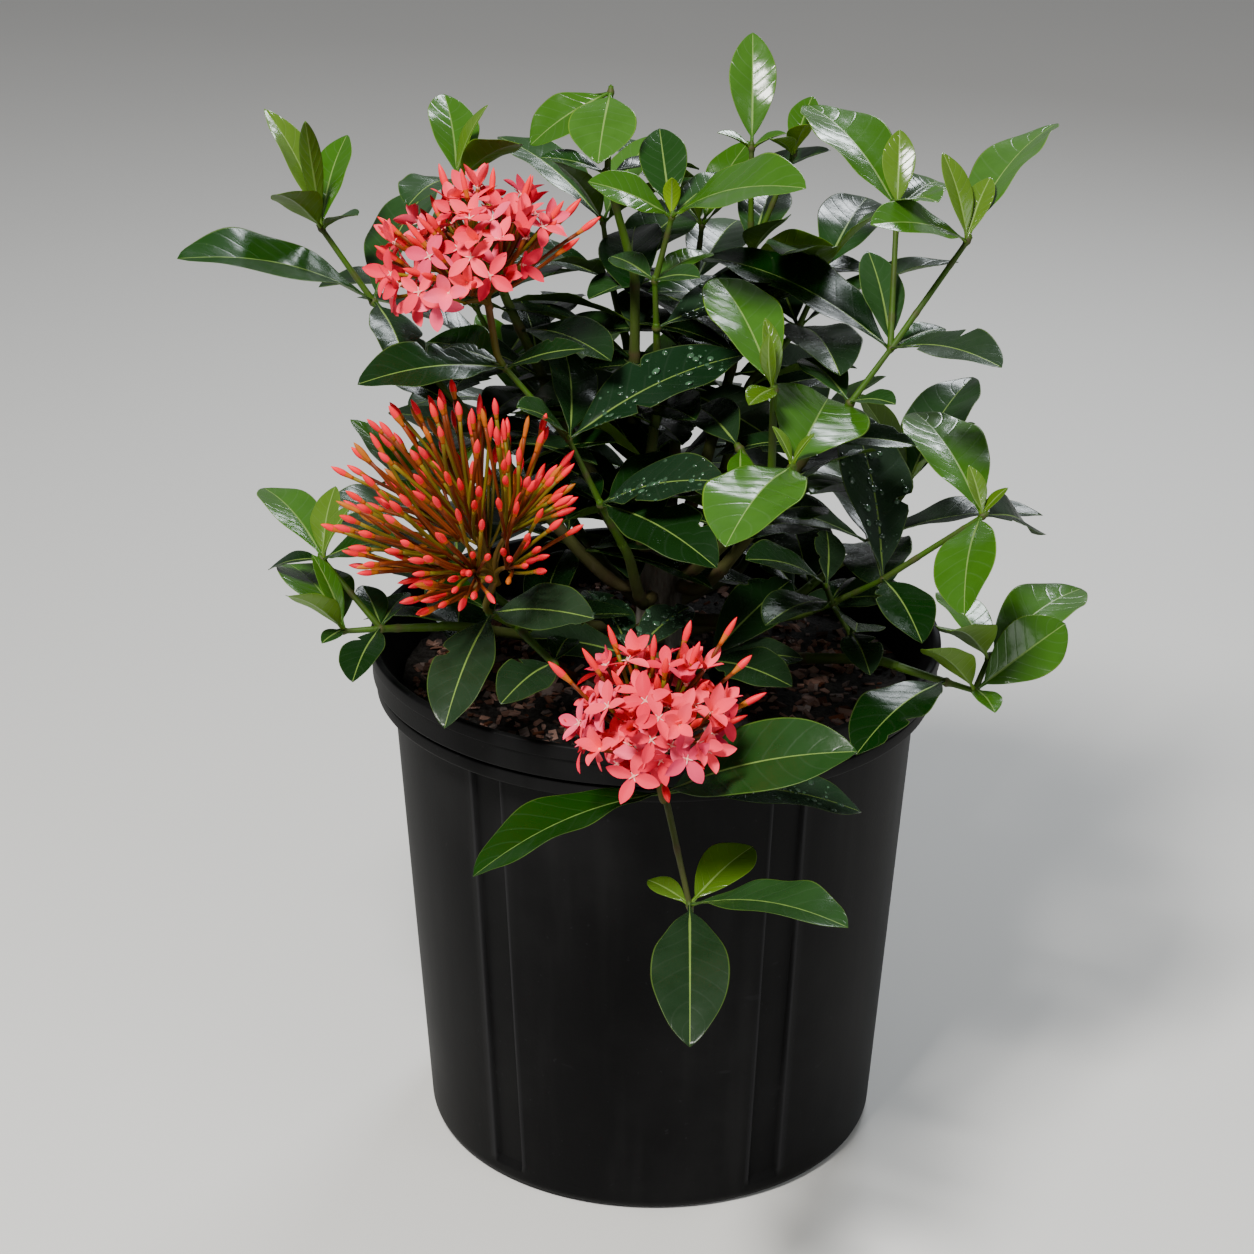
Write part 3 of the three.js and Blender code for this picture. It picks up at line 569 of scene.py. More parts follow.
def stalk_finish(name, young, old, rough):
    """A stem's finish, from its young colour to its old one by the shade of each part."""
    finish = Finish(name)
    grain = finish.noise(260, 4, 0.6, (1, 1, 0.3))
    patches = finish.noise(60, 3)
    base = finish.mix(finish.shade(), young, old)
    base = finish.mix(patches.step(0.4, 0.7) * 0.45, base, darker(old, 0.3))
    base = finish.mix(grain.step(0.55, 0.75) * 0.25, base, lighter(old, 0.05))
    return finish.done(
        base_color=base, roughness=rough, specular=0.2, normal=finish.bump(grain, 0.0006, 0.6))


def bark_finish():
    finish = Finish("bark")
    bark = tuple(limbs().bark)
    cracks = finish.noise(90, 5, 0.65, (1, 1, 0.25))
    lichen = finish.noise(38, 3)
    base = finish.mix(cracks.step(0.35, 0.65), darker(bark, 0.55), lighter(bark, 0.12))
    base = finish.mix(lichen.step(0.58, 0.7) * 0.4, base, LICHEN)
    return finish.done(base_color=base, roughness=0.85, normal=finish.bump(cracks, 0.0016, 0.9))


def plastic_finish():
    """Moulded black plastic, clouded and scratched, with a painted highlight along the edges of its
    channels.
    """
    finish = Finish("pot plastic")
    plastic, scuff_and_edge_highlight = tuple(pot().plastic), tuple(pot().scuff_and_edge_highlight)
    grain = finish.noise(900, 2)
    cloud = finish.noise(9, 4, 0.6)
    drawn = finish.noise(50, 3, 0.5, (1, 1, 0.08))
    specks = finish.noise(320, 2).step(0.71, 0.76)
    scratch = finish.noise(140, 2, 0.5, (0.15, 1, 1)).step(0.72, 0.78)
    base = finish.mix(cloud.step(0.4, 0.75) * 0.35, plastic, lighter(plastic, 0.014))
    base = finish.mix(drawn.step(0.5, 0.8) * 0.25, base, lighter(plastic, 0.02))
    base = finish.mix(specks * 0.25 + scratch * 0.2, base, scuff_and_edge_highlight)
    # Painted highlight: the channels' edges are lightened toward the scuff colour.
    base = finish.mix(finish.shade() * 0.75, base, scuff_and_edge_highlight)
    rough = 0.42 + cloud * 0.14 + drawn * 0.08
    relief = grain * 0.5 + drawn * 0.5
    return finish.done(
        base_color=base, roughness=rough, specular=0.07, normal=finish.bump(relief, 0.0004, 0.3))


def mix_finish():
    finish = Finish("potting mix")
    mix = tuple(pot().mix)
    crumbs = finish.noise(420, 5, 0.7)
    fibres = finish.noise(160, 4, 0.7, (1, 0.3, 1))
    base = finish.mix(crumbs.step(0.3, 0.7), darker(mix, 0.6), lighter(mix, 0.02))
    base = finish.mix(fibres.step(0.6, 0.72) * 0.45, base, FIBRE)
    return finish.done(
        base_color=base, roughness=0.92, specular=0.1, normal=finish.bump(crumbs, 0.002, 1.0))


def chip_finish(name, colour):
    finish = Finish(name)
    grain = finish.noise(300, 4, 0.7, (0.3, 1, 1))
    base = finish.mix(finish.shade(), darker(colour, 0.55), lighter(colour, 0.1))
    base = finish.mix(grain.step(0.4, 0.7) * 0.5, base, darker(colour, 0.6))
    return finish.done(base_color=base, roughness=0.88, specular=0.1, normal=finish.bump(grain, 0.001, 0.8))


# Building meshes

class Batch:
    """Like pieces gathered as arrays and made into one joined mesh."""

    def __init__(self):
        self.points = []
        self.charts = []
        self.shades = []
        self.faces = []
        self.finishes = []
        self.total = 0

    def grid(self, points, chart=None, shade=0.5, wrap=True, caps=False, finish=0):
        """Rows of points joined by four-sided faces. A wrapped row is a ring, counterclockwise seen from
        the last row. finish is one finish for all faces, or one for each column of them."""
        rows, columns = points.shape[:2]
        steps = columns if wrap else columns - 1
        row = np.arange(rows - 1)[:, None] * columns + self.total
        here = np.arange(steps)[None, :]
        after = (here + 1) % columns
        faces = np.stack([row + here, row + after, row + after + columns, row + here + columns], -1)
        kinds = np.broadcast_to(np.asarray(finish), (rows - 1, steps))
        self.faces.extend(faces.reshape(-1, 4).tolist())
        self.finishes.extend(kinds.reshape(-1).tolist())
        if caps:
            last = self.total + (rows - 1) * columns
            self.faces.append([self.total + column for column in reversed(range(columns))])
            self.faces.append([last + column for column in range(columns)])
            self.finishes.extend([int(kinds[0, 0]), int(kinds[-1, -1])])
        if chart is None:
            chart = np.zeros((rows, columns, 2))
        self.points.append(points.reshape(-1, 3))
        self.charts.append(chart.reshape(-1, 2))
        self.shades.append(np.broadcast_to(np.asarray(shade, float), (rows, columns)).reshape(-1))
        self.total += rows * columns

    def solid(self, points, faces, shade, finish):
        self.faces.extend([[self.total + corner for corner in face] for face in faces])
        self.finishes.extend([finish] * len(faces))
        self.points.append(points)
        self.charts.append(np.zeros((len(points), 2)))
        self.shades.append(np.full(len(points), shade))
        self.total += len(points)

    def make(self, name, slot, finishes, smooth=True):
        mesh = bpy.data.meshes.new(name)
        mesh.from_pydata((np.concatenate(self.points) * MM).tolist(), [], self.faces)
        for finish in finishes:
            mesh.materials.append(finish)
        mesh.polygons.foreach_set("material_index", self.finishes)
        mesh.polygons.foreach_set("use_smooth", [smooth] * len(self.faces))
        corners = np.zeros(len(mesh.loops), np.int64)
        mesh.loops.foreach_get("vertex_index", corners)
        chart = mesh.uv_layers.new(name="UVMap")
        chart.data.foreach_set("uv", np.concatenate(self.charts)[corners].astype(np.float32).reshape(-1))
        shade = mesh.attributes.new("shade", "FLOAT", "POINT")
        shade.data.foreach_set("value", np.concatenate(self.shades).astype(np.float32))
        mesh.update()
        piece = bpy.data.objects.new(name, mesh)
        bpy.context.scene.collection.objects.link(piece)
        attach(piece, "root")
        return piece


def array(*values):
    return np.array(values, float)


def unit(vector):
    return vector / np.linalg.norm(vector)


def round_turns(count):
    """Even angles about a circle."""
    return np.linspace(0, 2 * math.pi, count, endpoint=False)


def swelling(values, middle, width):
    """1 where the values are at the middle, and less the further they are from it."""
    return np.exp(-((values - middle) / width) ** 2)


def about_axis(turns, radius, height):
    """Points about the upright axis, at a radius and a height."""
    return np.stack(np.broadcast_arrays(np.cos(turns) * radius, np.sin(turns) * radius, height), -1)


def chart_of(across, along):
    """A surface's chart: each point's share across, from 0 to 1, and its share along."""
    return np.stack(np.broadcast_arrays((across + 1) / 2, along[:, None]), -1)


def smooth_step(values, low, high):
    share = np.clip((values - low) / (high - low), 0, 1)
    return share * share * (3 - 2 * share)


def direction(heading, rise):
    """The direction of a heading, counterclockwise from +x, and a rise, both in degrees."""
    level = math.cos(math.radians(rise))
    return array(
        math.cos(math.radians(heading)) * level,
        math.sin(math.radians(heading)) * level,
        math.sin(math.radians(rise)))


def smooth_line(points, steps):
    """A centripetal curve through the points, as the source's limbs follow, with steps to each stretch."""
    points = [np.asarray(point, float) for point in points]
    if len(points) == 2:
        return np.linspace(points[0], points[1], steps + 1)
    ends = [2 * points[0] - points[1], *points, 2 * points[-1] - points[-2]]
    line = [points[0]]
    for first, start, end, last in zip(ends, ends[1:], ends[2:], ends[3:]):
        spans = ((first, start), (start, end), (end, last))
        knots = np.cumsum([0, *(np.linalg.norm(b - a) ** 0.5 for a, b in spans)])
        for share in np.linspace(0, 1, steps + 1)[1:]:
            at = knots[1] + (knots[2] - knots[1]) * share

            def blend(a, b, low, high):
                return (a * (knots[high] - at) + b * (at - knots[low])) / (knots[high] - knots[low])

            one, two, three = blend(first, start, 0, 1), blend(start, end, 1, 2), blend(end, last, 2, 3)
            line.append(blend(blend(one, two, 0, 2), blend(two, three, 1, 3), 1, 2))
    return np.array(line)


def line_frames(line):
    """Two directions across a line at each of its points, turned as little as can be."""
    tangents = np.gradient(line, axis=0)
    tangents /= np.linalg.norm(tangents, axis=1, keepdims=True)
    guess = array(0, 0, 1) if abs(tangents[0][2]) < 0.9 else array(1, 0, 0)
    side = unit(np.cross(tangents[0], guess))
    sides = []
    for tangent in tangents:
        side = unit(side - tangent * side.dot(tangent))
        sides.append(side)
    sides = np.array(sides)
    return sides, np.cross(tangents, sides)


def tube(line, radii, sides):
    """Rings about a line, counterclockwise seen from its end, with a radius for each ring or point."""
    across, up = line_frames(line)
    turns = round_turns(sides)
    rim = across[:, None] * np.cos(turns)[:, None] + up[:, None] * np.sin(turns)[:, None]
    return line[:, None] + rim * np.reshape(radii, (len(line), -1, 1))


def line_lengths(line):
    return np.concatenate([[0], np.cumsum(np.linalg.norm(np.diff(line, axis=0), axis=1))])


# The plant's plan, worked out as in the source

def seeded(seed):
    """The source's own maker of numbers from 0 to 1."""
    word = 0xFFFFFFFF
    state = [seed & word]

    def draw():
        state[0] = (state[0] + 0x6D2B79F5) & word
        value = state[0]
        value = ((value ^ (value >> 15)) * (value | 1)) & word
        value ^= (value + ((value ^ (value >> 7)) * (value | 61))) & word
        return ((value ^ (value >> 14)) & word) / 2**32

    return draw


def far_side():
    """The far side's shoots, drawn in the source's order."""
    draw = seeded(FAR_SEED)

    def vary(amount):
        return (draw() * 2 - 1) * amount

    masses = {}
    for ring in FAR_RINGS:
        for number in range(ring["count"]):
            heading = ring["from"] + (ring["to"] - ring["from"]) * number / (ring["count"] - 1)
            reach = ring["reach"] + vary(FAR_SHOOT["spread"])
            height = ring["height"] + vary(FAR_SHOOT["spread"] * 2)
            outward = direction(heading + vary(FAR_SHOOT["heading"]), 0)
            turn = vary(FAR_SHOOT["turn"])

            def spot(share, drop):
                return (outward[0] * reach * share, outward[1] * reach * share, height - drop)

            def pair(across, rise, length):
                return [
                    (heading + turn + across + half, rise + vary(FAR_SHOOT["rise"]),
                     length * (1 - draw() * FAR_SHOOT["shorter"]), vary(FAR_SHOOT["roll"]))
                    for half in (0, 180)]

            long, middle, young = ring["lengths"]
            lower, upper = FAR_PAIRS
            first = (spot(FAR_SHOOT["node_share"], FAR_SHOOT["node_drop"]), None,
                     # The high ring's darker ages are painted shade.
                     (*pair(*lower[0], long), *pair(*lower[1], middle)), ring["ages_and_shade"][0])
            second = (spot(1, 0), 0, (*pair(*upper[0], middle), *pair(*upper[1], young)), ring["ages_and_shade"][1])
            root = spot(FAR_SHOOT["root_share"], FAR_SHOOT["root_drop"])
            leave = ring["leaves"] + (number % 2) * FAR_SHOOT["stagger"]
            masses[f"{ring['name']}_{number + 1}"] = (root, leave, (first, second))
    return masses


MASSES = {**FOLIAGE, **far_side()}


def trunk_radius(rise):
    flare = (TRUNK["foot"] - TRUNK["radius"]) * math.exp(-rise / (TRUNK["flare"] / 2))
    return TRUNK["radius"] + (TRUNK["top"] - TRUNK["radius"]) * rise / TRUNK["height"] + flare


def trunk_axis(rise):
    share = rise / TRUNK["height"]
    return array(TRUNK["lean"][0] * share, TRUNK["lean"][1] * share, TRUNK_FOOT + rise)


def bough_points(mass):
    root, leave, nodes = MASSES[mass]
    rise = min(leave - TRUNK_FOOT, TRUNK["height"] - BOUGH["foot"] - 3)
    axis, end = trunk_axis(rise), array(*root)
    outward = unit((end - axis) * array(1, 1, 0))
    start = axis + outward * (trunk_radius(rise - BOUGH["foot"]) + BOUGH["seat"])
    joint = unit(array(*nodes[0][0]) - end)
    return [start, start + outward * BOUGH["straight"], end - joint * BOUGH["straight"], end]


def twig_points(mass, number):
    root, _, nodes = MASSES[mass]
    place, grown_from = nodes[number][:2]
    if grown_from is not None:
        return [leaf_root(mass, grown_from), array(*place)]
    joint = unit(array(*nodes[0][0]) - array(*root))
    return [array(*root) + joint * GAP, array(*root) + joint * (GAP + TWIG["foot"] * 2), array(*place)]


def leaf_root(mass, number):
    before, end = twig_points(mass, number)[-2:]
    return end - unit(end - before) * TWIG["collar"]


def settled(mass, root, values):
    """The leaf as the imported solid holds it: the first of the source's tries whose tip is a point of the
    solid. One that the source left out gives nothing."""
    heading, rise, length, *rest = values
    tree = corner_tree(f"foliage_{mass}")
    for share in SHARES:
        for lift in LIFTS:
            for turn in TURNS:
                tip = root + direction(heading + turn, rise + lift) * length * share
                if tree.find(Vector(tip * MM))[2] < MATCH * MM:
                    return (heading + turn, rise + lift, length * share, *rest)
    return None


TREES = {}


def corner_tree(node):
    """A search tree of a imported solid's corners."""
    if node not in TREES:
        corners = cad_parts[node].data.vertices
        TREES[node] = KDTree(len(corners))
        for number, corner in enumerate(corners):
            TREES[node].insert(corner.co, number)
        TREES[node].balance()
    return TREES[node]


# Limbs

LIMB = {
    "sides": 12, "step": 2.2, "wobble": 0.05, "scar": 0.16, "scar_width": 1.6, "scar_shade": 0.7,
    "first_scar": (0.4, 0.9), "scar_gaps": (0.75, 1.25), "after_last_scar": 0.3}
LINE_STEPS = 24

# How many swells go round a limb, and how fast they wind along it
RIPPLES = ((2, 0.11), (3, 0.07), (5, 0.23))

# How many ribs go round the trunk, how far they stand out and how fast they wind as they rise
RIBS = ((5, 0.045, 0.02), (9, 0.03, -0.05), (17, 0.02, 0.11), (29, 0.012, 0.31))
TRUNK_SKIN = {
    "sides": 40, "foot_rows": 10, "rows": 26, "inset": 0.965, "ribs": 0.6, "foot_ribs": 0.5,
    "rounding": 4, "top_inset": 0.3}
COLLAR = {
    "rows": 9, "sides": 10, "reach": 3.2, "swell": 0.55, "swollen": (0.1, 0.42), "shade": 0.8,
    "brown": (0.25, 0.3)}
SHOOT_TIP = {
    "rows": 7, "sides": 8, "length": 2.2, "power": 2.2, "blunt": 0.06, "width": 0.9, "shade": 0.05}

# How far a limb starts inside what it grows from
ROOTED = {"bough": 2, "twig": 1.5, "flower stalk": 2}

# The share of bark on a limb, at its foot and its tip, and how much more the twigs of a mass have
BARK = {"bough": (0.95, 0.1), "first twig": (0.15, 0), "twig": (0.05, 0), "flower stalk": (0.1, 0.8)}
WOODY = {"front": 0.5}


def scarred(lengths, radii, rng, spacing):
    """Radii with a swollen ring at each pair of leaf scars, and the shade that the rings take."""
    radii, shades = np.array(radii, float), np.zeros(len(lengths))
    place = rng.uniform(*LIMB["first_scar"]) * spacing
    while place < lengths[-1] - spacing * LIMB["after_last_scar"]:
        ring = swelling(lengths, place, LIMB["scar_width"])
        radii = radii * (1 + LIMB["scar"] * ring)
        shades = np.maximum(shades, ring)
        place += spacing * rng.uniform(*LIMB["scar_gaps"])
    return radii, shades


def limb(batch, points, foot, tip, rng, spacing, old):
    """A round tapering limb with leaf scars. old is its share of bark, at its foot and its tip."""
    rough = smooth_line(points, LINE_STEPS)
    lengths = line_lengths(rough)
    count = max(4, int(lengths[-1] / LIMB["step"]))
    even = np.linspace(0, lengths[-1], count + 1)
    line = np.stack([np.interp(even, lengths, rough[:, axis]) for axis in range(3)], 1)
    share = even / even[-1]
    radii, scars = scarred(even, foot + (tip - foot) * share, rng, spacing)
    turns = round_turns(LIMB["sides"])
    phases = rng.uniform(*ANY_TURN, len(RIPPLES))
    ripple = sum(
        np.sin(turns * lobes + even[:, None] * pitch + phase)
        for phase, (lobes, pitch) in zip(phases, RIPPLES)) / len(RIPPLES)
    around = radii[:, None] * (1 + LIMB["wobble"] * ripple)
    shade = np.clip(old[0] + (old[1] - old[0]) * share + scars * LIMB["scar_shade"], 0, 1)
    batch.grid(tube(line, around, LIMB["sides"]), shade=shade[:, None], caps=True)


def node_collar(batch, place, onward, radius):
    """The swollen joint at a node, browner just above its middle."""
    share = np.linspace(-1, 1, COLLAR["rows"])
    line = place + onward * (share[:, None] * COLLAR["reach"])
    radii = radius * (1 + COLLAR["swell"] * swelling(share, *COLLAR["swollen"]))
    shades = swelling(share, *COLLAR["brown"])[:, None] * COLLAR["shade"]
    batch.grid(tube(line, radii, COLLAR["sides"]), shade=shades, caps=True)


def growing_tip(batch, place, onward, radius):
    """The pointed bud that ends a shoot."""
    share = np.linspace(0, 1, SHOOT_TIP["rows"])
    line = place + onward * (share[:, None] * SHOOT_TIP["length"])
    radii = radius * np.maximum(1 - share ** SHOOT_TIP["power"], SHOOT_TIP["blunt"]) * SHOOT_TIP["width"]
    batch.grid(tube(line, radii, SHOOT_TIP["sides"]), shade=SHOOT_TIP["shade"], caps=True)


def trunk_mesh(batch, rng):
    """The ribbed trunk, whose ribs stand out most at its flared foot, with a rounded top."""
    flare, height, rounding = TRUNK["flare"], TRUNK["height"], TRUNK_SKIN["rounding"]
    rises = np.concatenate([
        np.linspace(0, flare, TRUNK_SKIN["foot_rows"]),
        np.linspace(flare, height, TRUNK_SKIN["rows"])[1:]])
    turns = round_turns(TRUNK_SKIN["sides"])
    rings = []
    phases = rng.uniform(*ANY_TURN, len(RIBS))
    for rise in rises:
        ribs = sum(
            size * np.sin(lobes * turns + phase + rise * wind)
            for phase, (lobes, size, wind) in zip(phases, RIBS))
        ribs = ribs * (TRUNK_SKIN["ribs"] + TRUNK_SKIN["foot_ribs"] * math.exp(-rise / flare))
        radius = trunk_radius(rise) * (TRUNK_SKIN["inset"] + ribs)
        if rise > height - rounding:
            radius = radius * (1 - TRUNK_SKIN["top_inset"] * ((rise - height + rounding) / rounding) ** 2)
        rings.append(trunk_axis(rise) + about_axis(turns, radius, 0))
    batch.grid(np.array(rings), caps=True)


def grow_limbs():
    """The trunk, a bough to each mass of foliage, and the mass's twigs, each in the source's place."""
    rng = np.random.default_rng(SEEDS["limbs"])
    spacing, slim, twig_slim = limbs().scar_spacing / MM, limbs().slim, limbs().twig_slim
    thick, thin = TWIG["tip"] * twig_slim, TWIG["young"] * twig_slim
    trunk, boughs, twigs = Batch(), Batch(), Batch()
    trunk_mesh(trunk, rng)
    carried = {head["on"] for head in HEADS.values()}
    for mass, (_, _, nodes) in MASSES.items():
        points = bough_points(mass)
        points[0] = points[0] + unit(points[0] - points[1]) * ROOTED["bough"]
        limb(boughs, points, BOUGH["foot"] * slim, BOUGH["tip"] * slim, rng, spacing, BARK["bough"])
        for number, (_, grown_from, _, _) in enumerate(nodes):
            path = twig_points(mass, number)
            onward = unit(path[-1] - path[-2])
            first = grown_from is None
            if first:
                path[0] = path[0] - unit(path[1] - path[0]) * (GAP + ROOTED["twig"])
            foot, tip = (BOUGH["tip"] * slim, thick) if first else (thick, thin)
            old = [share + WOODY.get(mass, 0) for share in BARK["first twig" if first else "twig"]]
            limb(twigs, path, foot, tip, rng, spacing, old)
            node_collar(twigs, leaf_root(mass, number), onward, tip)
            if (mass, number) not in carried:
                growing_tip(twigs, path[-1] - onward, onward, tip)
    bark, stem = tuple(limbs().bark), tuple(limbs().stem)
    piece = trunk.make("trunk_bark", "bark", [bark_finish()])
    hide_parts("trunk")
    piece = boughs.make("bough_stems", "stem", [stalk_finish("old stem", stem, bark, rough=0.7)])
    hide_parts(*(f"bough_{mass}" for mass in MASSES))
    twigs.make("twigs", "stem", [stalk_finish("green stem", stem, darker(bark, 0.15), rough=0.55)])


# Leaves

# A blade's section and rows, and how it is waved, folded, grooved and thinned: lengths in millimetres,
# the rest shares of the leaf's own sizes
BLADE = {
    "across": (0, 0.035, 0.12, 0.3, 0.52, 0.76, 0.965, 1),
    "rows": 34,
    "plain_across": (0, 0.035, 0.3, 0.66, 0.965, 1),
    "plain_rows": 16,
    "spread": 0.94,
    "petiole": 5,
    "petiole_share": 0.09,
    "petiole_radius": 0.85,
    "petiole_taper": 0.8,
    "foot": 4.5,
    "foot_swell": 0.7,
    "thinning": 0.5,
    "fold_power": 0.4,
    "wave": 0.012,
    "wave_beats": (1.5, 3.2),
    "wave_turn": 6.28,
    "waved_from": (2, 12),
    "groove": 0.55,
    "groove_width": 1.1,
    "grooved_from": (1.5, 6),
    "keel": 0.7,
    "ribs_fade": 0.7,
    "midrib": 0.6,
    "midrib_share": 0.1,
    "midrib_taper": 0.72,
    "pillow": 0.006,
    "bites_beyond": 0.4,
}
BITES = {"leaves": 0.42, "most": 2, "places": (0.25, 0.9), "reaches": (0.012, 0.035), "depths": (0.2, 0.6)}

# Each age's word and how old it is, from 0 to 1
AGES = {"n": ("new", 0), "b": ("bright", 0.2), "m": ("middle", 0.7), "d": ("dark", 1), "w": ("wet", 1)}

# The most leaves in one piece
PER_PIECE = 52

# Leaves that grow further forward than this, over the pot's front, have no bites
WHOLE_BEFORE = -140

DROPS = {
    "count": 64, "radii": (0.45, 1.9), "smaller": 2.2, "lengths": (1, 1.4), "height": 0.5, "rows": 4,
    "sides": 8, "top": 0.08, "clear_of_ends": 4}

# The shares along a leaf and across its half at which its distance from others is taken
SAMPLES_ALONG = (0.35, 0.55, 0.75, 0.98)
SAMPLES_ACROSS = (-0.85, -0.4, 0, 0.4, 0.85)


def half_width(share, width):
    """Half a blade's width at each share along it, as in the source."""
    power = math.log(0.5) / math.log(LEAF["widest"])
    return width / 2 * np.sin(math.pi * share ** power) ** LEAF["fullness"]


def leaf_frame(heading, rise, roll):
    """A leaf's directions: along it, out of its upper face, and across it."""
    along, face = direction(heading, rise), direction(heading, rise + 90)
    turn = math.radians(roll)
    face = face * math.cos(turn) + np.cross(along, face) * math.sin(turn)
    return along, face, np.cross(along, face)


def bitten(share, rng, age, whole):
    """What insects have left of each side of a leaf's outline. Only old leaves are bitten."""
    sides = []
    for _ in range(2):
        left = np.ones(len(share))
        if age in "dw" and rng.random() < BITES["leaves"]:
            for _ in range(rng.integers(1, BITES["most"] + 1)):
                place, reach = rng.uniform(*BITES["places"]), rng.uniform(*BITES["reaches"])
                depth = rng.uniform(*BITES["depths"]) * (not whole)
                left = left * (1 - depth * swelling(share, place, reach))
        sides.append(left)
    return sides


def blade_ring(stations):
    """The stations about a blade's section, over its upper face and back under it, which of them are
    above, and the finish of each face: 0 upper, 1 under, 2 midrib, 3 margin."""
    upper = array(*(-value for value in reversed(stations[1:])), *stations)
    ring = np.concatenate([upper, upper[-2:0:-1]])
    above = np.concatenate([np.ones(len(upper)), -np.ones(len(upper) - 2)])
    above[[0, len(upper) - 1]] = 0
    middle = abs(ring + np.roll(ring, -1)) / 2
    on_top = np.arange(len(ring)) < len(upper) - 1
    edge = np.where(on_top, np.where(middle > stations[-2], 3, 0), 1)
    return ring, above, np.where(middle < stations[1], 2, edge)


def blade(batch, root, values, age, rng, plain=False):
    """One leaf, with its petiole, its grooved midrib, its pillows between veins and its waved margin.
    Gives the rows of points of its upper face."""
    heading, rise, length, roll, *width_share = values
    width = length * (width_share[0] if width_share else LEAF["width"])
    along, face, across = leaf_frame(heading, rise, roll)
    stations = BLADE["plain_across" if plain else "across"]
    share = np.linspace(0, 1, BLADE["plain_rows" if plain else "rows"]) ** BLADE["spread"]
    petiole = min(BLADE["petiole"] / length, BLADE["petiole_share"])
    blade_share = np.clip((share - petiole) / (1 - petiole), 0, 1)
    half = np.maximum(half_width(blade_share, width), 0)
    half[-1] = 0
    half = np.maximum(half, BLADE["petiole_radius"] * (1 - blade_share * BLADE["petiole_taper"]))
    left, right = bitten(share, rng, age, root[1] < WHOLE_BEFORE)
    ring, above, finish = blade_ring(stations)

    rows, halves = share[:, None], half[:, None]
    eaten = np.where(ring < 0, left[:, None], right[:, None])
    out = halves * ring * np.where(abs(ring) > BLADE["bites_beyond"], eaten, 1)
    rib = np.minimum(BLADE["midrib"] * (1 - BLADE["midrib_taper"] * rows), halves * BLADE["midrib_share"])
    out = np.where(abs(ring) == stations[1], np.sign(ring) * rib, out)

    phase = rng.uniform(*ANY_TURN, 4)
    beats = rng.uniform(*BLADE["wave_beats"], 2) * BLADE["wave_turn"]
    wave = np.where(ring < 0, np.sin(rows * beats[0] + phase[0]), np.sin(rows * beats[1] + phase[1]))
    lift = LEAF["fold"] * abs(out) * abs(ring) ** BLADE["fold_power"]
    lift = lift + BLADE["wave"] * length * wave * ring ** 2 * smooth_step(halves, *BLADE["waved_from"])
    sweep = rows - VEINS["sweep"] * abs(ring) ** VEINS["bend"]
    pillow = np.cos((sweep * VEINS["pairs"] + np.where(ring > 0, VEINS["offset"], 0)) * 2 * math.pi)
    swell = abs(ring) * (1 - abs(ring)) * 2 * (halves / half.max())
    lift = lift - BLADE["pillow"] * length * pillow * swell

    foot = swelling(rows * length, 0, BLADE["foot"])
    thick = leaves().thickness / MM / 2 * (1 - BLADE["thinning"] * rows) + BLADE["foot_swell"] * foot
    bulge = np.sqrt(np.clip(1 - ring ** 4, 0, 1))
    groove = swelling(out, 0, BLADE["groove_width"]) * smooth_step(halves, *BLADE["grooved_from"])
    sunk = np.where(above > 0, BLADE["groove"], BLADE["keel"]) * (1 - BLADE["ribs_fade"] * rows)
    surface = above * thick * bulge - groove * sunk
    midrib = root + along * (rows * length) + face * (LEAF["arch"] * length * 4 * rows * (1 - rows))
    points = midrib[:, None] + across * out[..., None] + face * (lift + surface)[..., None]
    batch.grid(points, chart_of(ring, share), rng.random(), caps=True, finish=finish)
    return points[:, :len(stations) * 2 - 1]


def wet(batch, surface, face, rng):
    """Beads of water scattered over a leaf's upper face."""
    rise = np.linspace(0, math.pi / 2, DROPS["rows"])
    turns = round_turns(DROPS["sides"])
    low, high = DROPS["radii"]
    clear = DROPS["clear_of_ends"]
    for _ in range(DROPS["count"]):
        row, column = rng.integers(clear, len(surface) - clear - 1), rng.integers(1, surface.shape[1] - 2)
        here = surface[row, column]
        onward, sideways = surface[row + 1, column] - here, surface[row, column + 1] - here
        place = here + onward * rng.random() + sideways * rng.random()
        up = unit(np.cross(onward, sideways))
        up = up if up.dot(face) > 0 else -up
        side = unit(np.cross(up, rng.normal(0, 1, 3)))
        radius = low + (high - low) * rng.random() ** DROPS["smaller"]
        long = side * rng.uniform(*DROPS["lengths"])
        around = long * np.cos(turns)[:, None] + np.cross(up, side) * np.sin(turns)[:, None]
        level = np.maximum(np.cos(rise), DROPS["top"])[:, None, None] * around * radius
        points = place + level + up * (np.sin(rise) * radius * DROPS["height"])[:, None, None]
        batch.grid(points, shade=rng.random(), caps=True)


def leaf_samples(root, values):
    """Points over a leaf beyond its root, by which leaves are kept apart."""
    heading, rise, length, roll, *width_share = values
    along, face, across = leaf_frame(heading, rise, roll)
    half = length * (width_share[0] if width_share else LEAF["width"]) / 2
    return np.array([
        root + along * length * share + face * LEAF["arch"] * length + across * half * side
        for share in SAMPLES_ALONG for side in SAMPLES_ACROSS])


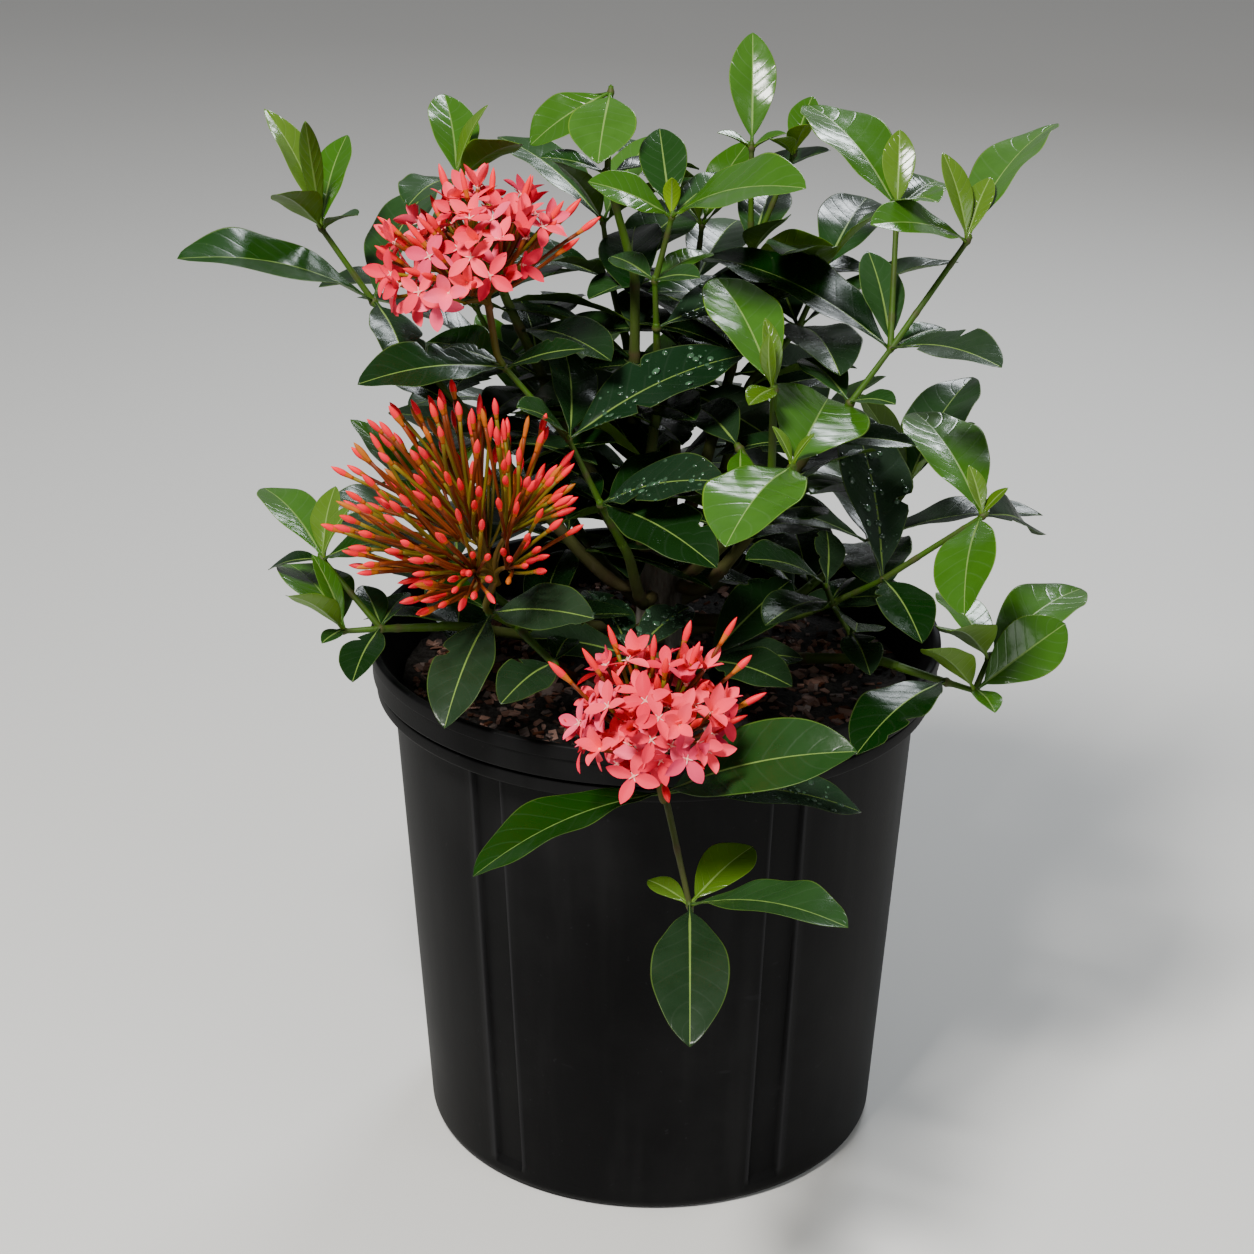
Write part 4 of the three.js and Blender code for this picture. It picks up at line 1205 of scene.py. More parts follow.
def inner_leaves(grown, rng):
    """Crossed pairs of old leaves along the boughs behind the front of the crown, kept inside its
    outline and clear of the leaves that have grown."""
    taken = np.concatenate([leaf_samples(root, values) for root, values in grown])
    low, high = (array(*corner) / MM for corner in CAD_BOX)
    found = []
    for mass in MASSES:
        line = smooth_line(bough_points(mass), LINE_STEPS)
        lengths = line_lengths(line)
        heading = rng.uniform(0, 180)
        for place in np.arange(lengths[-1] * INNER["first"], lengths[-1] * INNER["last"], INNER["spacing"]):
            root = array(*(np.interp(place, lengths, line[:, axis]) for axis in range(3)))
            heading += 90 + rng.normal(0, INNER["turn"])
            for half_turn in (0, 180):
                length = rng.uniform(*INNER["lengths"])
                rise, roll = rng.uniform(*INNER["rises"]), rng.normal(0, INNER["roll"])
                values = (heading + half_turn, rise, length, roll)
                samples = leaf_samples(root, values)
                inside = ((samples > low + INNER["inside"]) & (samples < high - INNER["inside"])).all()
                behind = samples[:, 1].min() > INNER["front"]
                above = samples[:, 2].min() > SOIL_TOP + INNER["above_soil"]
                if not (inside and behind and above):
                    continue
                gaps = np.linalg.norm(taken[:, None] - samples[None], axis=2)
                if gaps.min() > INNER["apart"]:
                    taken = np.concatenate([taken, samples])
                    found.append((root, values))
    return found


def leaf_finishes(word, old):
    settings = leaves()
    colour, midrib = tuple(getattr(settings, word)), tuple(settings.midrib)
    # Young leaves take the brighter underside, whose glow is painted light shining through them.
    under = between(tuple(settings.new_under_with_glow), tuple(settings.under), min(1, old * 4))
    return [
        blade_finish(f"{word} leaf", colour, old),
        underside_finish(f"{word} underside", between(under, colour, 0.1 + 0.4 * old)),
        rib_finish(f"{word} midrib", between(lighter(colour, 0.1), midrib, 0.4 + 0.15 * old)),
        rib_finish(f"{word} margin", between(lighter(colour, 0.02), midrib, 0.4 - 0.2 * old)),
    ]


def grow_leaves():
    """The leaves of the source's plan, age by age, then those inside the crown and the water drops.
    Gives how many of the first and of the second have grown."""
    rng = np.random.default_rng(SEEDS["leaves"])
    grown = {age: [] for age in AGES}
    for mass, (_, _, nodes) in MASSES.items():
        for number, (_, _, rows, letters) in enumerate(nodes):
            root = leaf_root(mass, number)
            for values, age in zip(rows, letters):
                found = settled(mass, root, values)
                if found:
                    grown[age].append((root, found))
    made, drops = [], Batch()
    for age, (word, old) in AGES.items():
        finishes = leaf_finishes(word, old)
        for start in range(0, len(grown[age]), PER_PIECE):
            batch = Batch()
            for root, values in grown[age][start:start + PER_PIECE]:
                surface = blade(batch, root, values, age, rng)
                if age == "w":
                    wet(drops, surface, leaf_frame(*values[:2], values[3])[1], rng)
            made.append(batch.make(f"leaves_{word}_{start // PER_PIECE + 1}", "leaf", finishes))
        if word == "dark":
            inner = inner_leaves([leaf for kind in grown.values() for leaf in kind], rng)
            batch = Batch()
            for root, values in inner:
                blade(batch, root, values, age, rng, plain=True)
            batch.make("leaves_inner", "leaf", finishes)
    drops.make("water_drops", "leaf", [drop_finish()])
    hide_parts(*(f"foliage_{mass}" for mass in MASSES))
    return sum(len(kind) for kind in grown.values()), len(inner)


# Flower heads

FORKS = {
    "count": 11, "reach": 0.3, "seed": 100, "below_hub": 3, "steps": 6, "radii": (1.5, 0.95), "sides": 8,
    "shade": 0.6, "scatter": 0.8}

# How far a bent line runs before it turns, as a share of its length
BEND = 0.45

# A petal's outline and cup, and how the numbers drawn for tubes, florets and buds vary
PETAL = {
    "rows": 10, "columns": 5, "curl_power": 1.5, "foot": 0.045, "drawn": 0.93, "widest": 1.1,
    "fullness": 0.85, "cup": 0.24, "blunt": 0.03}
TUBE = {
    "bend": 0.11, "steps": 8, "foot": 0.62, "sides": 7, "young_olive": 0.42, "olive": 0.2, "greener": 0.15}
FLORET = {
    "lean": 0.24, "cupped": 0.38, "cupped_tilts": (0.3, 0.95), "tilts": (1.1, 1.65), "size": (0.95, 1.14),
    "turn": 0.1, "length": (0.92, 1.05), "width": (0.42, 0.53), "tilt": 0.14, "curl": (-0.1, 0.6),
    "twist": 16, "shade": 0.15, "between": 0.785, "stamen_rise": 0.5, "stamen_foot": 0.2, "depth": 0.8}
STAMEN = {"length": 2.6, "foot": 0.14, "radius": 0.26, "sides": 5, "shade": 0.9}
THROAT = {"length": 1.9, "foot": 0.8, "radius": 0.9, "sides": 8, "shade": 0.3}
BUD = {
    "lengths": (0.82, 1.12), "young_radii": (1.35, 1.7), "radii": (1.3, 1.75), "orange": (0.1, 0.4),
    "all_orange": 0.14, "slimmer": 0.85, "overlap": 0.4, "sides": 9, "widest": 0.5, "blunt": 0.05,
    "taper": 0.8, "follows_tube": 0.5}
BUD_ROWS = np.concatenate([np.linspace(0, BUD["widest"], 5), np.linspace(BUD["widest"], 1, 8)[1:]])

# How far from the hub each kind reaches, as a share of the way to the dome: between two numbers, or the
# most, how much less it may be, and the power that makes less seldom
REACH = {"bud": (0.98, 1.16), "young bud": (1.02, 0.42, 2.5), "floret": (0.95, 0.4, 1.8)}
STRAY_FOOT = 0.2


def head_axes(head):
    axis = direction(head["heading"], head["rise"])
    side = unit(np.cross(array(0, 0, 1), axis))
    return axis, side, np.cross(axis, side)


def dome(head, count, draw):
    """Points over a head's dome by the golden angle, as in the source."""
    axis, side, up = head_axes(head)
    middle = array(*head["hub"]) + axis * head["offset"]
    points = []
    for number in range(count):
        height = 1 - (number + 0.5) / count * (1 - math.cos(math.radians(head["lowest"])))
        level = math.sqrt(1 - height * height)
        swell = 1 + (draw() - 0.5) * HEAD["uneven"]
        turn = GOLDEN_ANGLE * number
        points.append(
            middle + side * math.cos(turn) * level * head["across"] * swell
            + up * math.sin(turn) * level * head["across"] * swell
            + axis * height * head["along"] * swell)
    return points


def stalk_points(head):
    mass, number = head["on"]
    before, end = twig_points(mass, number)[-2:]
    to_hub = unit(array(*head["hub"]) - end)
    onward = unit(unit(end - before) + to_hub)
    start = end + onward * (GAP + HEAD["stalk"])
    foot = end - unit(end - before) * ROOTED["flower stalk"]
    return [foot, start, start + onward * HEAD["stalk"], array(*head["hub"])]


def bend(start, end, pull, steps):
    """A line from start to end that sets out along pull and then turns to its end."""
    middle = start + pull * np.linalg.norm(end - start) * BEND
    share = np.linspace(0, 1, steps + 1)[:, None]
    return start * (1 - share) ** 2 + middle * 2 * share * (1 - share) + end * share ** 2


def petal(batch, centre, axis, outward, length, width, opened, curl, twist, shade, finish):
    """A pointed oval petal, its edges a little raised. opened and curl are in radians from the axis."""
    share, side = np.linspace(0, 1, PETAL["rows"]), np.linspace(-1, 1, PETAL["columns"])
    rows = share[:, None]
    tilt = opened + curl * rows ** PETAL["curl_power"]
    step = length / (PETAL["rows"] - 1)
    way = outward * np.sin(tilt) + axis * np.cos(tilt)
    spine = centre + np.cumsum(way, axis=0) * step - way[0] * step
    face = axis * np.sin(tilt) - outward * np.cos(tilt)
    across = np.cross(way, face)
    lean = np.radians(twist) * rows
    across, face = across * np.cos(lean) + face * np.sin(lean), face * np.cos(lean) - across * np.sin(lean)
    along = rows * PETAL["drawn"] + PETAL["foot"]
    half = width / 2 * np.sin(math.pi * along ** PETAL["widest"]) ** PETAL["fullness"]
    half[-1] = width * PETAL["blunt"]
    lift = PETAL["cup"] * half * side ** 2
    points = spine[:, None] + across[:, None] * (half * side)[..., None] + face[:, None] * lift[..., None]
    batch.grid(points, chart_of(side, share), shade, wrap=False, finish=finish)


def spindle(batch, start, axis, length, foot, radius, sides, shade, lower=0.0):
    """A closed bud that swells from the radius of its foot to its own and ends in a point.
    lower is the share of it that takes the second finish."""
    share, widest = BUD_ROWS, BUD["widest"]
    tip = np.clip(1 - ((share - widest) / (1 - widest)) ** 2, BUD["blunt"], 1) ** BUD["taper"]
    swollen = foot + (radius - foot) * smooth_step(share, 0, widest)
    radii = np.where(share < widest, swollen, radius * tip)
    kinds = (share[:-1] < lower).astype(int)[:, None]
    rings = tube(start + axis * share[:, None] * length, radii, sides)
    batch.grid(rings, shade=shade, caps=True, finish=kinds)


def flower_tube(parts, foot, end, rng, young):
    """A slender tube that bends a little on its way. Gives the direction in which it ends."""
    pull = unit(unit(end - foot) + rng.normal(0, TUBE["bend"], 3))
    line = bend(foot, end, pull, TUBE["steps"])
    olive = TUBE["young_olive" if young else "olive"]
    kind = int(rng.random() < olive) + int(rng.random() < TUBE["greener"])
    rings = tube(line, np.linspace(TUBE["foot"], HEAD["tube"], len(line)), TUBE["sides"])
    parts["tubes"].grid(rings, shade=rng.random(), caps=True, finish=kind)
    return unit(line[-1] - line[-2])


def floret(parts, foot, centre, rng, pale):
    """An open flower: a slender tube and four petals about a small throat with its stamens."""
    axis = flower_tube(parts, foot, centre, rng, False)
    axis = unit(axis + rng.normal(0, FLORET["lean"], 3))
    side = unit(np.cross(axis, rng.normal(0, 1, 3)))
    up = np.cross(axis, side)
    cupped = rng.random() < FLORET["cupped"]
    opened = rng.uniform(*FLORET["cupped_tilts" if cupped else "tilts"])
    size = HEAD["petal"] * rng.uniform(*FLORET["size"])
    # A share of the florets takes the pale petals, a painted highlight for sunlit ones.
    shade, finish = rng.random(), int(rng.random() < pale)
    for quarter in range(4):
        turn = quarter * math.pi / 2 + rng.normal(0, FLORET["turn"])
        outward = side * math.cos(turn) + up * math.sin(turn)
        length, width = size * rng.uniform(*FLORET["length"]), size * rng.uniform(*FLORET["width"])
        tilt, curl = opened + rng.normal(0, FLORET["tilt"]), rng.uniform(*FLORET["curl"])
        twist = rng.normal(0, FLORET["twist"])
        own = np.clip(shade + rng.normal(0, FLORET["shade"]), 0, 1)
        petal(parts["petals"], centre, axis, outward, length, width, tilt, curl, twist, own, finish)
        turn = turn + FLORET["between"]
        way = unit(side * math.cos(turn) + up * math.sin(turn) + axis * FLORET["stamen_rise"])
        spindle(parts["eyes"], centre + axis * FLORET["stamen_foot"], way, **STAMEN)
    spindle(parts["eyes"], centre - axis * FLORET["depth"], axis, **THROAT)


def closed_bud(parts, foot, tip, rng, young):
    """A closed bud on its tube. Some of the young ones are orange all over."""
    length = HEAD["young_bud" if young else "bud"] * rng.uniform(*BUD["lengths"])
    axis = unit(tip - foot)
    start = tip - axis * length
    axis = unit(flower_tube(parts, foot, start, rng, young) * BUD["follows_tube"] + axis)
    radius = rng.uniform(*BUD["young_radii" if young else "radii"])
    lower = rng.uniform(*BUD["orange"])
    if young and rng.random() < BUD["all_orange"]:
        radius, lower = radius * BUD["slimmer"], 1.0
    start, length = start - axis * BUD["overlap"], length + BUD["overlap"]
    spindle(parts["buds"], start, axis, length, HEAD["tube"], radius, BUD["sides"], rng.random(), lower)


def drawn_in(rng, most, less, power):
    return most - less * rng.random() ** power


def flower_head(parts, head):
    """A head's stalk and forks, and its florets and buds, each on a tube from the fork nearest to it."""
    rng = np.random.default_rng(head["seed"])
    hub = array(*head["hub"])
    axis = head_axes(head)[0]
    young = head["open"] == 0
    slim = limbs().twig_slim
    thick, thin = TWIG["tip"] * slim, HEAD["stalk"] * slim
    limb(parts["stalks"], stalk_points(head), thick, thin, rng, HEAD["scar_spacing"], BARK["flower stalk"])
    count = head["open"] + head["buds"]
    points = dome(head, count, seeded(head["seed"]))
    spots = dome(head, FORKS["count"], seeded(head["seed"] + FORKS["seed"]))
    forks = [hub + (point - hub) * FORKS["reach"] for point in spots]
    for fork in forks:
        line = bend(hub - axis * FORKS["below_hub"], fork, axis, FORKS["steps"])
        rings = tube(line, np.linspace(*FORKS["radii"], len(line)), FORKS["sides"])
        parts["stalks"].grid(rings, shade=FORKS["shade"], caps=True)
    closed = set() if young else set(rng.choice(count, head["buds"], replace=False).tolist())
    for number, point in enumerate(points):
        fork = min(forks, key=lambda place: np.linalg.norm(unit(place - hub) - unit(point - hub)))
        foot = fork + rng.normal(0, FORKS["scatter"], 3)
        way = point - hub
        if young:
            closed_bud(parts, foot, hub + way * drawn_in(rng, *REACH["young bud"]), rng, True)
        elif number in closed:
            closed_bud(parts, foot, hub + way * rng.uniform(*REACH["bud"]), rng, False)
        else:
            floret(parts, foot, hub + way * drawn_in(rng, *REACH["floret"]), rng, head["pale"])
    for heading, rise, length in head["strays"]:
        way = direction(heading, rise)
        closed_bud(parts, hub + way * length * STRAY_FOOT, hub + way * length, rng, False)


def grow_flowers():
    settings = flowers()
    parts = {name: Batch() for name in ("petals", "tubes", "eyes", "buds", "stalks")}
    for head in HEADS.values():
        flower_head(parts, head)
    deep, pale, bud, orange, tube_colour, olive, eye = (
        tuple(getattr(settings, name))
        for name in ("petal", "petal_pale", "bud", "bud_orange", "tube", "tube_olive", "eye"))
    stem, peduncle = tuple(limbs().stem), tuple(limbs().peduncle)
    rows = (
        ("petals", "flower", [petal_finish("petal", deep), petal_finish("pale petal", pale)]),
        ("tubes", "buds", [
            stalk_finish("flower tube", tube_colour, darker(tube_colour, 0.4), rough=0.5),
            stalk_finish("olive tube", olive, darker(olive, 0.4), rough=0.5),
            stalk_finish("green tube", between(olive, stem, 0.5), olive, rough=0.5)]),
        ("eyes", "flower", [stalk_finish("throat", eye, lighter(eye, 0.4), rough=0.5)]),
        ("buds", "buds", [
            stalk_finish("bud tip", bud, between(bud, deep, 0.5), rough=0.42),
            stalk_finish("bud foot", orange, between(orange, olive, 0.4), rough=0.45)]),
        ("stalks", "stem", [stalk_finish("flower stalk", stem, peduncle, rough=0.55)]),
    )
    made = {name: parts[name].make(f"flower_{name}", slot, finishes) for name, slot, finishes in rows}
    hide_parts("flower_head_left", "flower_head_front")
    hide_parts("flower_head_buds")


# Pot and potting mix

POT_SIDES = 180
POT_MIDDLE = 120
ROUNDED_SHARE = 0.45

# The heights at which the wall has rings of points
WALL_HEIGHTS = (4, CHANNEL["foot"] - 2, 14, *np.linspace(30, SHOULDER - 4, 14), SHOULDER)

# Degrees from a channel's edge at which the pot has more points
NEAR_EDGE = (-0.9, -0.5, -0.25, 0, 0.25, 0.5, 0.9)


def wall_radius(height):
    return POT["foot"] + (POT["shoulder"] - POT["foot"]) * (height / SHOULDER)


def inner_radius(height):
    return wall_radius(height) - POT["wall"]


def rounded(points, radius, steps=4):
    """The outline with its inner corners rounded."""
    points = [array(*point) for point in points]
    out = [points[0]]
    for before, corner, after in zip(points, points[1:], points[2:]):
        sides = [np.linalg.norm(corner - before), np.linalg.norm(after - corner)]
        reach = min(radius, min(sides) * ROUNDED_SHARE)
        start = corner + unit(before - corner) * reach
        end = corner + unit(after - corner) * reach
        for share in np.linspace(0, 1, steps + 1):
            out.append(start * (1 - share) ** 2 + corner * 2 * share * (1 - share) + end * share ** 2)
    out.append(points[-1])
    return np.array(out)


def pot_outline():
    """The wall's section from the inside of the foot up its outside, over the lip and down its inside."""
    lip_foot = POT["height"] - RIM["lip_band"]
    groove = lip_foot - RIM["middle_band"]
    lip, middle, lower = POT["lip"], POT["lip"] - RIM["step"], POT["lip"] - RIM["taper"]
    cut = groove - RIM["groove_height"]
    foot = wall_radius(0)
    level, chamfer = foot - POT["rounding"], POT["chamfer"]
    under = [(level - POT["under_lap"], 0), (level, 0), (foot - chamfer, chamfer)]
    wall = [(wall_radius(height), height) for height in WALL_HEIGHTS]
    rim = [
        (lower, SHOULDER), (lower, cut), (lower - RIM["groove"], cut), (lower - RIM["groove"], groove),
        (middle, groove), (middle, lip_foot), (lip, lip_foot), (lip, POT["height"]),
        (lip - POT["wall"], POT["height"])]
    inside = [
        (inner_radius(SHOULDER), SHOULDER - 4), (inner_radius(POT["floor"]), POT["floor"]),
        (inner_radius(POT["floor"]) - POT["floor_lap"], POT["floor"])]
    return rounded([*under, *wall, *rim, *inside], RIM["rounding"])


def channel_turns():
    """The two channels in front, and those behind spread evenly over the rest of the wall."""
    step = (360 + CHANNEL["left"] - CHANNEL["right"]) / (CHANNEL["behind"] + 1)
    rest = [CHANNEL["right"] + step * (number + 1) for number in range(CHANNEL["behind"])]
    return [CHANNEL["left"], CHANNEL["right"], *rest]


def pot_turns():
    """Angles about the pot, closer together at the channels' edges."""
    edge = math.degrees(CHANNEL["width"] / 2 / wall_radius(POT_MIDDLE))
    turns = set(np.linspace(-180, 180, POT_SIDES, endpoint=False).round(4).tolist())
    for middle in channel_turns():
        for side in (-1, 1):
            for off in NEAR_EDGE:
                turns.add(round((middle + side * (edge + off) + 180) % 360 - 180, 4))
    return np.radians(sorted(turns))


def pot_wall(batch):
    """The turned wall with its channels pressed in, a bead beside each, and a painted highlight along its
    edges.
    """
    outline, turns = pot_outline(), pot_turns()
    radius = np.repeat(outline[:, :1], len(turns), 1)
    height = np.repeat(outline[:, 1:], len(turns), 1)
    outer = radius > wall_radius(np.clip(height, 0, SHOULDER)) - 1
    end = smooth_step(height - CHANNEL["foot"], *CHANNEL["end"])
    within = end * (height < SHOULDER - 0.5) * outer
    off = [
        abs((turns - math.radians(middle) + math.pi) % (2 * math.pi) - math.pi)
        for middle in channel_turns()]
    past_edge = np.min(off, axis=0) * radius - CHANNEL["width"] / 2
    sunk = 1 - smooth_step(past_edge, *CHANNEL["edge"])
    bead = CHANNEL["bead_height"] * swelling(past_edge, *CHANNEL["bead"])
    radius = radius - (CHANNEL["depth"] * sunk - bead) * within
    points = about_axis(turns, radius, height)
    # The shade that the wall's points carry paints a highlight along each channel's edge.
    batch.grid(points, shade=swelling(past_edge, *CHANNEL["edge_highlight"]) * within)


def pot_floor(batch):
    """The floor's plate in sectors, one round each drain hole, and its solid middle."""
    outer = wall_radius(0) - POT["rounding"] - DRAIN["from_foot"]
    inner = DRAIN["circle"] - DRAIN["radius"] * DRAIN["plate_from"]
    for number in range(DRAIN["count"]):
        middle = 2 * math.pi * number / DRAIN["count"]
        centre = array(math.cos(middle), math.sin(middle)) * DRAIN["circle"]
        turns = np.linspace(-math.pi, math.pi, DRAIN["sides"], endpoint=False) + middle
        ways = [array(math.cos(turn), math.sin(turn)) for turn in turns]
        rim = np.array([sector_edge(centre, way, middle, inner, outer) for way in ways])
        hole = about_axis(round_turns(DRAIN["sides"]), DRAIN["radius"], 0)[:, :2] + centre
        start = centre + ways[0] * DRAIN["radius"]
        hole = np.roll(hole, -int(np.argmin(np.linalg.norm(hole - start, axis=1))), 0)
        rings = [(rim, 0), (hole, 0), (hole, POT["floor"]), (rim, POT["floor"])]
        rows = [np.column_stack([flat, np.full(len(flat), height)]) for flat, height in rings]
        batch.grid(np.array(rows), shade=0)
    turns, heights = round_turns(DRAIN["plate_sides"]), (DRAIN["plate_lift"], POT["floor"])
    plate = np.array([about_axis(turns, inner + 1, height) for height in heights])
    batch.grid(plate, shade=0, caps=True)


def sector_edge(centre, way, middle, inner, outer):
    """Where a ray from a drain hole's centre meets the edge of its sector of the floor."""
    best = math.inf
    for bound in (inner, outer):
        half = centre.dot(way)
        inside = half * half - centre.dot(centre) + bound * bound
        if inside > 0:
            for root in (-half - math.sqrt(inside), -half + math.sqrt(inside)):
                if root > 0:
                    best = min(best, root)
    for side in (-1, 1):
        turn = middle + side * math.pi / DRAIN["count"]
        normal = array(-math.sin(turn), math.cos(turn)) * side
        slope = way.dot(normal)
        if slope > 1e-6:
            best = min(best, -centre.dot(normal) / slope)
    return centre + way * best


# Size, the two pitches and the phase of each wave of lumps on the mix
SOIL_LUMPS = (
    (0.9, 0.09, 0.075, 0.4), (0.7, 0.19, 0.23, 2.1), (0.5, 0.43, 0.37, 4.0), (0.35, 0.9, 0.83, 1.2))


def soil_height(x, y):
    """The crumbly top of the potting mix."""
    radius = np.hypot(x, y)
    edge, trunk = inner_radius(SOIL_EDGE), TRUNK["foot"]
    crown = SOIL_TOP - SOIL["crown"] * np.clip((radius - trunk) / (edge - trunk), 0, 1)
    lumps = sum(
        size * np.sin(x * a + phase) * np.sin(y * b - phase * 2) for size, a, b, phase in SOIL_LUMPS)
    return crown - SOIL["settled"] + lumps * np.clip((radius - trunk) / SOIL["smooth"], 0.1, 1)


def soil_mesh(batch, rng):
    """The mix, from the pot's floor up to its crumbly top."""
    turns, ends = round_turns(SOIL["sides"]), (POT["floor"] + GAP, SOIL_EDGE)
    radii = [inner_radius(height) - SOIL["clearance"] for height in ends]
    rings = [about_axis(turns, radius, height) for radius, height in zip(radii, ends)]
    for radius in np.linspace(radii[1], SOIL["innermost"], SOIL["rings"]):
        x, y = np.cos(turns) * radius, np.sin(turns) * radius
        height = soil_height(x, y) + rng.normal(0, SOIL["grain"], len(turns))
        rings.append(np.stack([x, y, height], 1))
    batch.grid(np.array(rings), caps=True)


CHIP_FACES = ((0, 3, 2, 1), (4, 5, 6, 7), (0, 1, 5, 4), (1, 2, 6, 5), (2, 3, 7, 6), (3, 0, 4, 7))
CHIP_CORNERS = np.array(
    [(x, y, z) for z in (-1, 1) for x, y in ((-1, -1), (1, -1), (1, 1), (-1, 1))], float)
CHIP = {
    "from_wall": 6, "area": (0.03, 1), "lengths": (1.1, 3.4), "long": 1.9, "long_share": 0.06,
    "widths": (0.3, 0.7), "heights": (0.35, 1.0), "uneven": 0.16, "tilt": 0.35, "lift": 0.6, "brown": 0.45}


def bark_chips(batch, rng, count):
    """Flat splinters of bark scattered over the mix."""
    inner = inner_radius(SOIL_EDGE) - CHIP["from_wall"]
    for _ in range(count):
        radius, turn = inner * math.sqrt(rng.uniform(*CHIP["area"])), rng.uniform(0, 2 * math.pi)
        x, y = radius * math.cos(turn), radius * math.sin(turn)
        length = rng.uniform(*CHIP["lengths"]) * (CHIP["long"] if rng.random() < CHIP["long_share"] else 1)
        size = array(length, length * rng.uniform(*CHIP["widths"]), rng.uniform(*CHIP["heights"]))
        points = CHIP_CORNERS * size * (1 + rng.normal(0, CHIP["uneven"], CHIP_CORNERS.shape))
        turned = Matrix.Rotation(rng.uniform(*ANY_TURN), 3, "Z")
        for axis in "XY":
            turned = turned @ Matrix.Rotation(rng.normal(0, CHIP["tilt"]), 3, axis)
        place = array(x, y, soil_height(x, y) + size[2] * CHIP["lift"])
        points = points @ np.array(turned).T + place
        batch.solid(points, CHIP_FACES, rng.random(), int(rng.random() < CHIP["brown"]))


def make_pot():
    wall = Batch()
    pot_wall(wall)
    pot_floor(wall)
    piece = wall.make("pot_shell", "pot", [plastic_finish()])
    piece.data.set_sharp_from_angle(angle=math.radians(POT["sharp_above"]))
    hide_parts("pot")


def make_soil():
    rng = np.random.default_rng(SEEDS["soil"])
    mix, chips = Batch(), Batch()
    soil_mesh(mix, rng)
    bark_chips(chips, rng, pot().chips)
    piece = mix.make("potting_mix", "soil", [mix_finish()])
    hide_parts("soil")
    tan = tuple(pot().chip)
    finishes = [chip_finish("tan chip", tan), chip_finish("brown chip", darker(tan, 0.6))]
    chips.make("bark_chips", "soil", finishes, smooth=False)


# Stage

def area_light(name, place, target, size, power, colour):
    light = bpy.data.lights.new(name, "AREA")
    light.shape = "RECTANGLE"
    light.size, light.size_y = size
    light.energy = power
    light.color = colour
    lamp = bpy.data.objects.new(name, light)
    lamp.location = place
    lamp.rotation_euler = (Vector(target) - Vector(place)).to_track_quat("-Z", "Y").to_euler()
    bpy.context.scene.collection.objects.link(lamp)


def camera_turn():
    """The camera's own axes, from how far it looks down, to the left, and is rolled."""
    down, left, roll = (math.radians(CAMERA[name]) for name in ("down", "left", "roll"))
    forward = Vector((-math.sin(left) * math.cos(down), math.cos(left) * math.cos(down), -math.sin(down)))
    level = forward.cross(Vector((0, 0, 1))).normalized()
    upright = level.cross(forward)
    right = level * math.cos(roll) + upright * math.sin(roll)
    up = upright * math.cos(roll) - level * math.sin(roll)
    return Matrix((right, up, -forward)).transposed()


def make_camera():
    camera = bpy.data.objects.new("camera", bpy.data.cameras.new("camera"))
    camera.data.lens = stage().lens
    camera.data.clip_end = 100
    camera.matrix_world = Matrix.Translation(Vector(CAMERA["place"]) * MM) @ camera_turn().to_4x4()
    bpy.context.scene.collection.objects.link(camera)
    bpy.context.scene.camera = camera


def floor_finish():
    finish = Finish("floor")
    colour = tuple(stage().floor)
    base = finish.mix(finish.noise(6) * 0.06, colour, darker(colour, 0.3))
    return finish.done(base_color=base, roughness=0.7)


def make_floor():
    places = np.linspace(-FLOOR_REACH, FLOOR_REACH, 5)
    floor = Batch()
    floor.grid(np.array([[(x, y, 0) for x in places] for y in places], float), wrap=False)
    mesh = bpy.data.meshes.new("floor")
    mesh.from_pydata((np.concatenate(floor.points) * MM).tolist(), [], floor.faces)
    mesh.materials.append(floor_finish())
    ground = bpy.data.objects.new("floor", mesh)
    bpy.context.scene.collection.objects.link(ground)


def make_lights():
    world = bpy.data.worlds.new("studio")
    world.use_nodes = True
    sky = world.node_tree.nodes["Background"].inputs
    sky["Color"].default_value = SKY_COLOUR
    sky["Strength"].default_value = stage().sky
    bpy.context.scene.world = world
    for name, (place, target, size, colour) in LIGHTS.items():
        area_light(name, place, target, size, getattr(stage(), name), colour)


# Operators, panel and registration

class IXORA_OT_stage(bpy.types.Operator):
    """Sets the camera, the pale floor and the studio lights"""
    bl_idname = "ixora.stage"
    bl_label = "Set the Stage"

    def execute(self, context):
        make_camera()
        make_floor()
        make_lights()
        return {"FINISHED"}


class IXORA_OT_pot(bpy.types.Operator):
    """Makes the nursery pot with its banded rim, pressed channels and drain holes"""
    bl_idname = "ixora.pot"
    bl_label = "Make the Pot"

    def execute(self, context):
        make_pot()
        return {"FINISHED"}


class IXORA_OT_soil(bpy.types.Operator):
    """Fills the pot with potting mix and bark chips"""
    bl_idname = "ixora.soil"
    bl_label = "Fill the Pot"

    def execute(self, context):
        make_soil()
        return {"FINISHED"}


class IXORA_OT_limbs(bpy.types.Operator):
    """Grows the trunk, the boughs and the twigs"""
    bl_idname = "ixora.limbs"
    bl_label = "Grow the Limbs"

    def execute(self, context):
        grow_limbs()
        return {"FINISHED"}


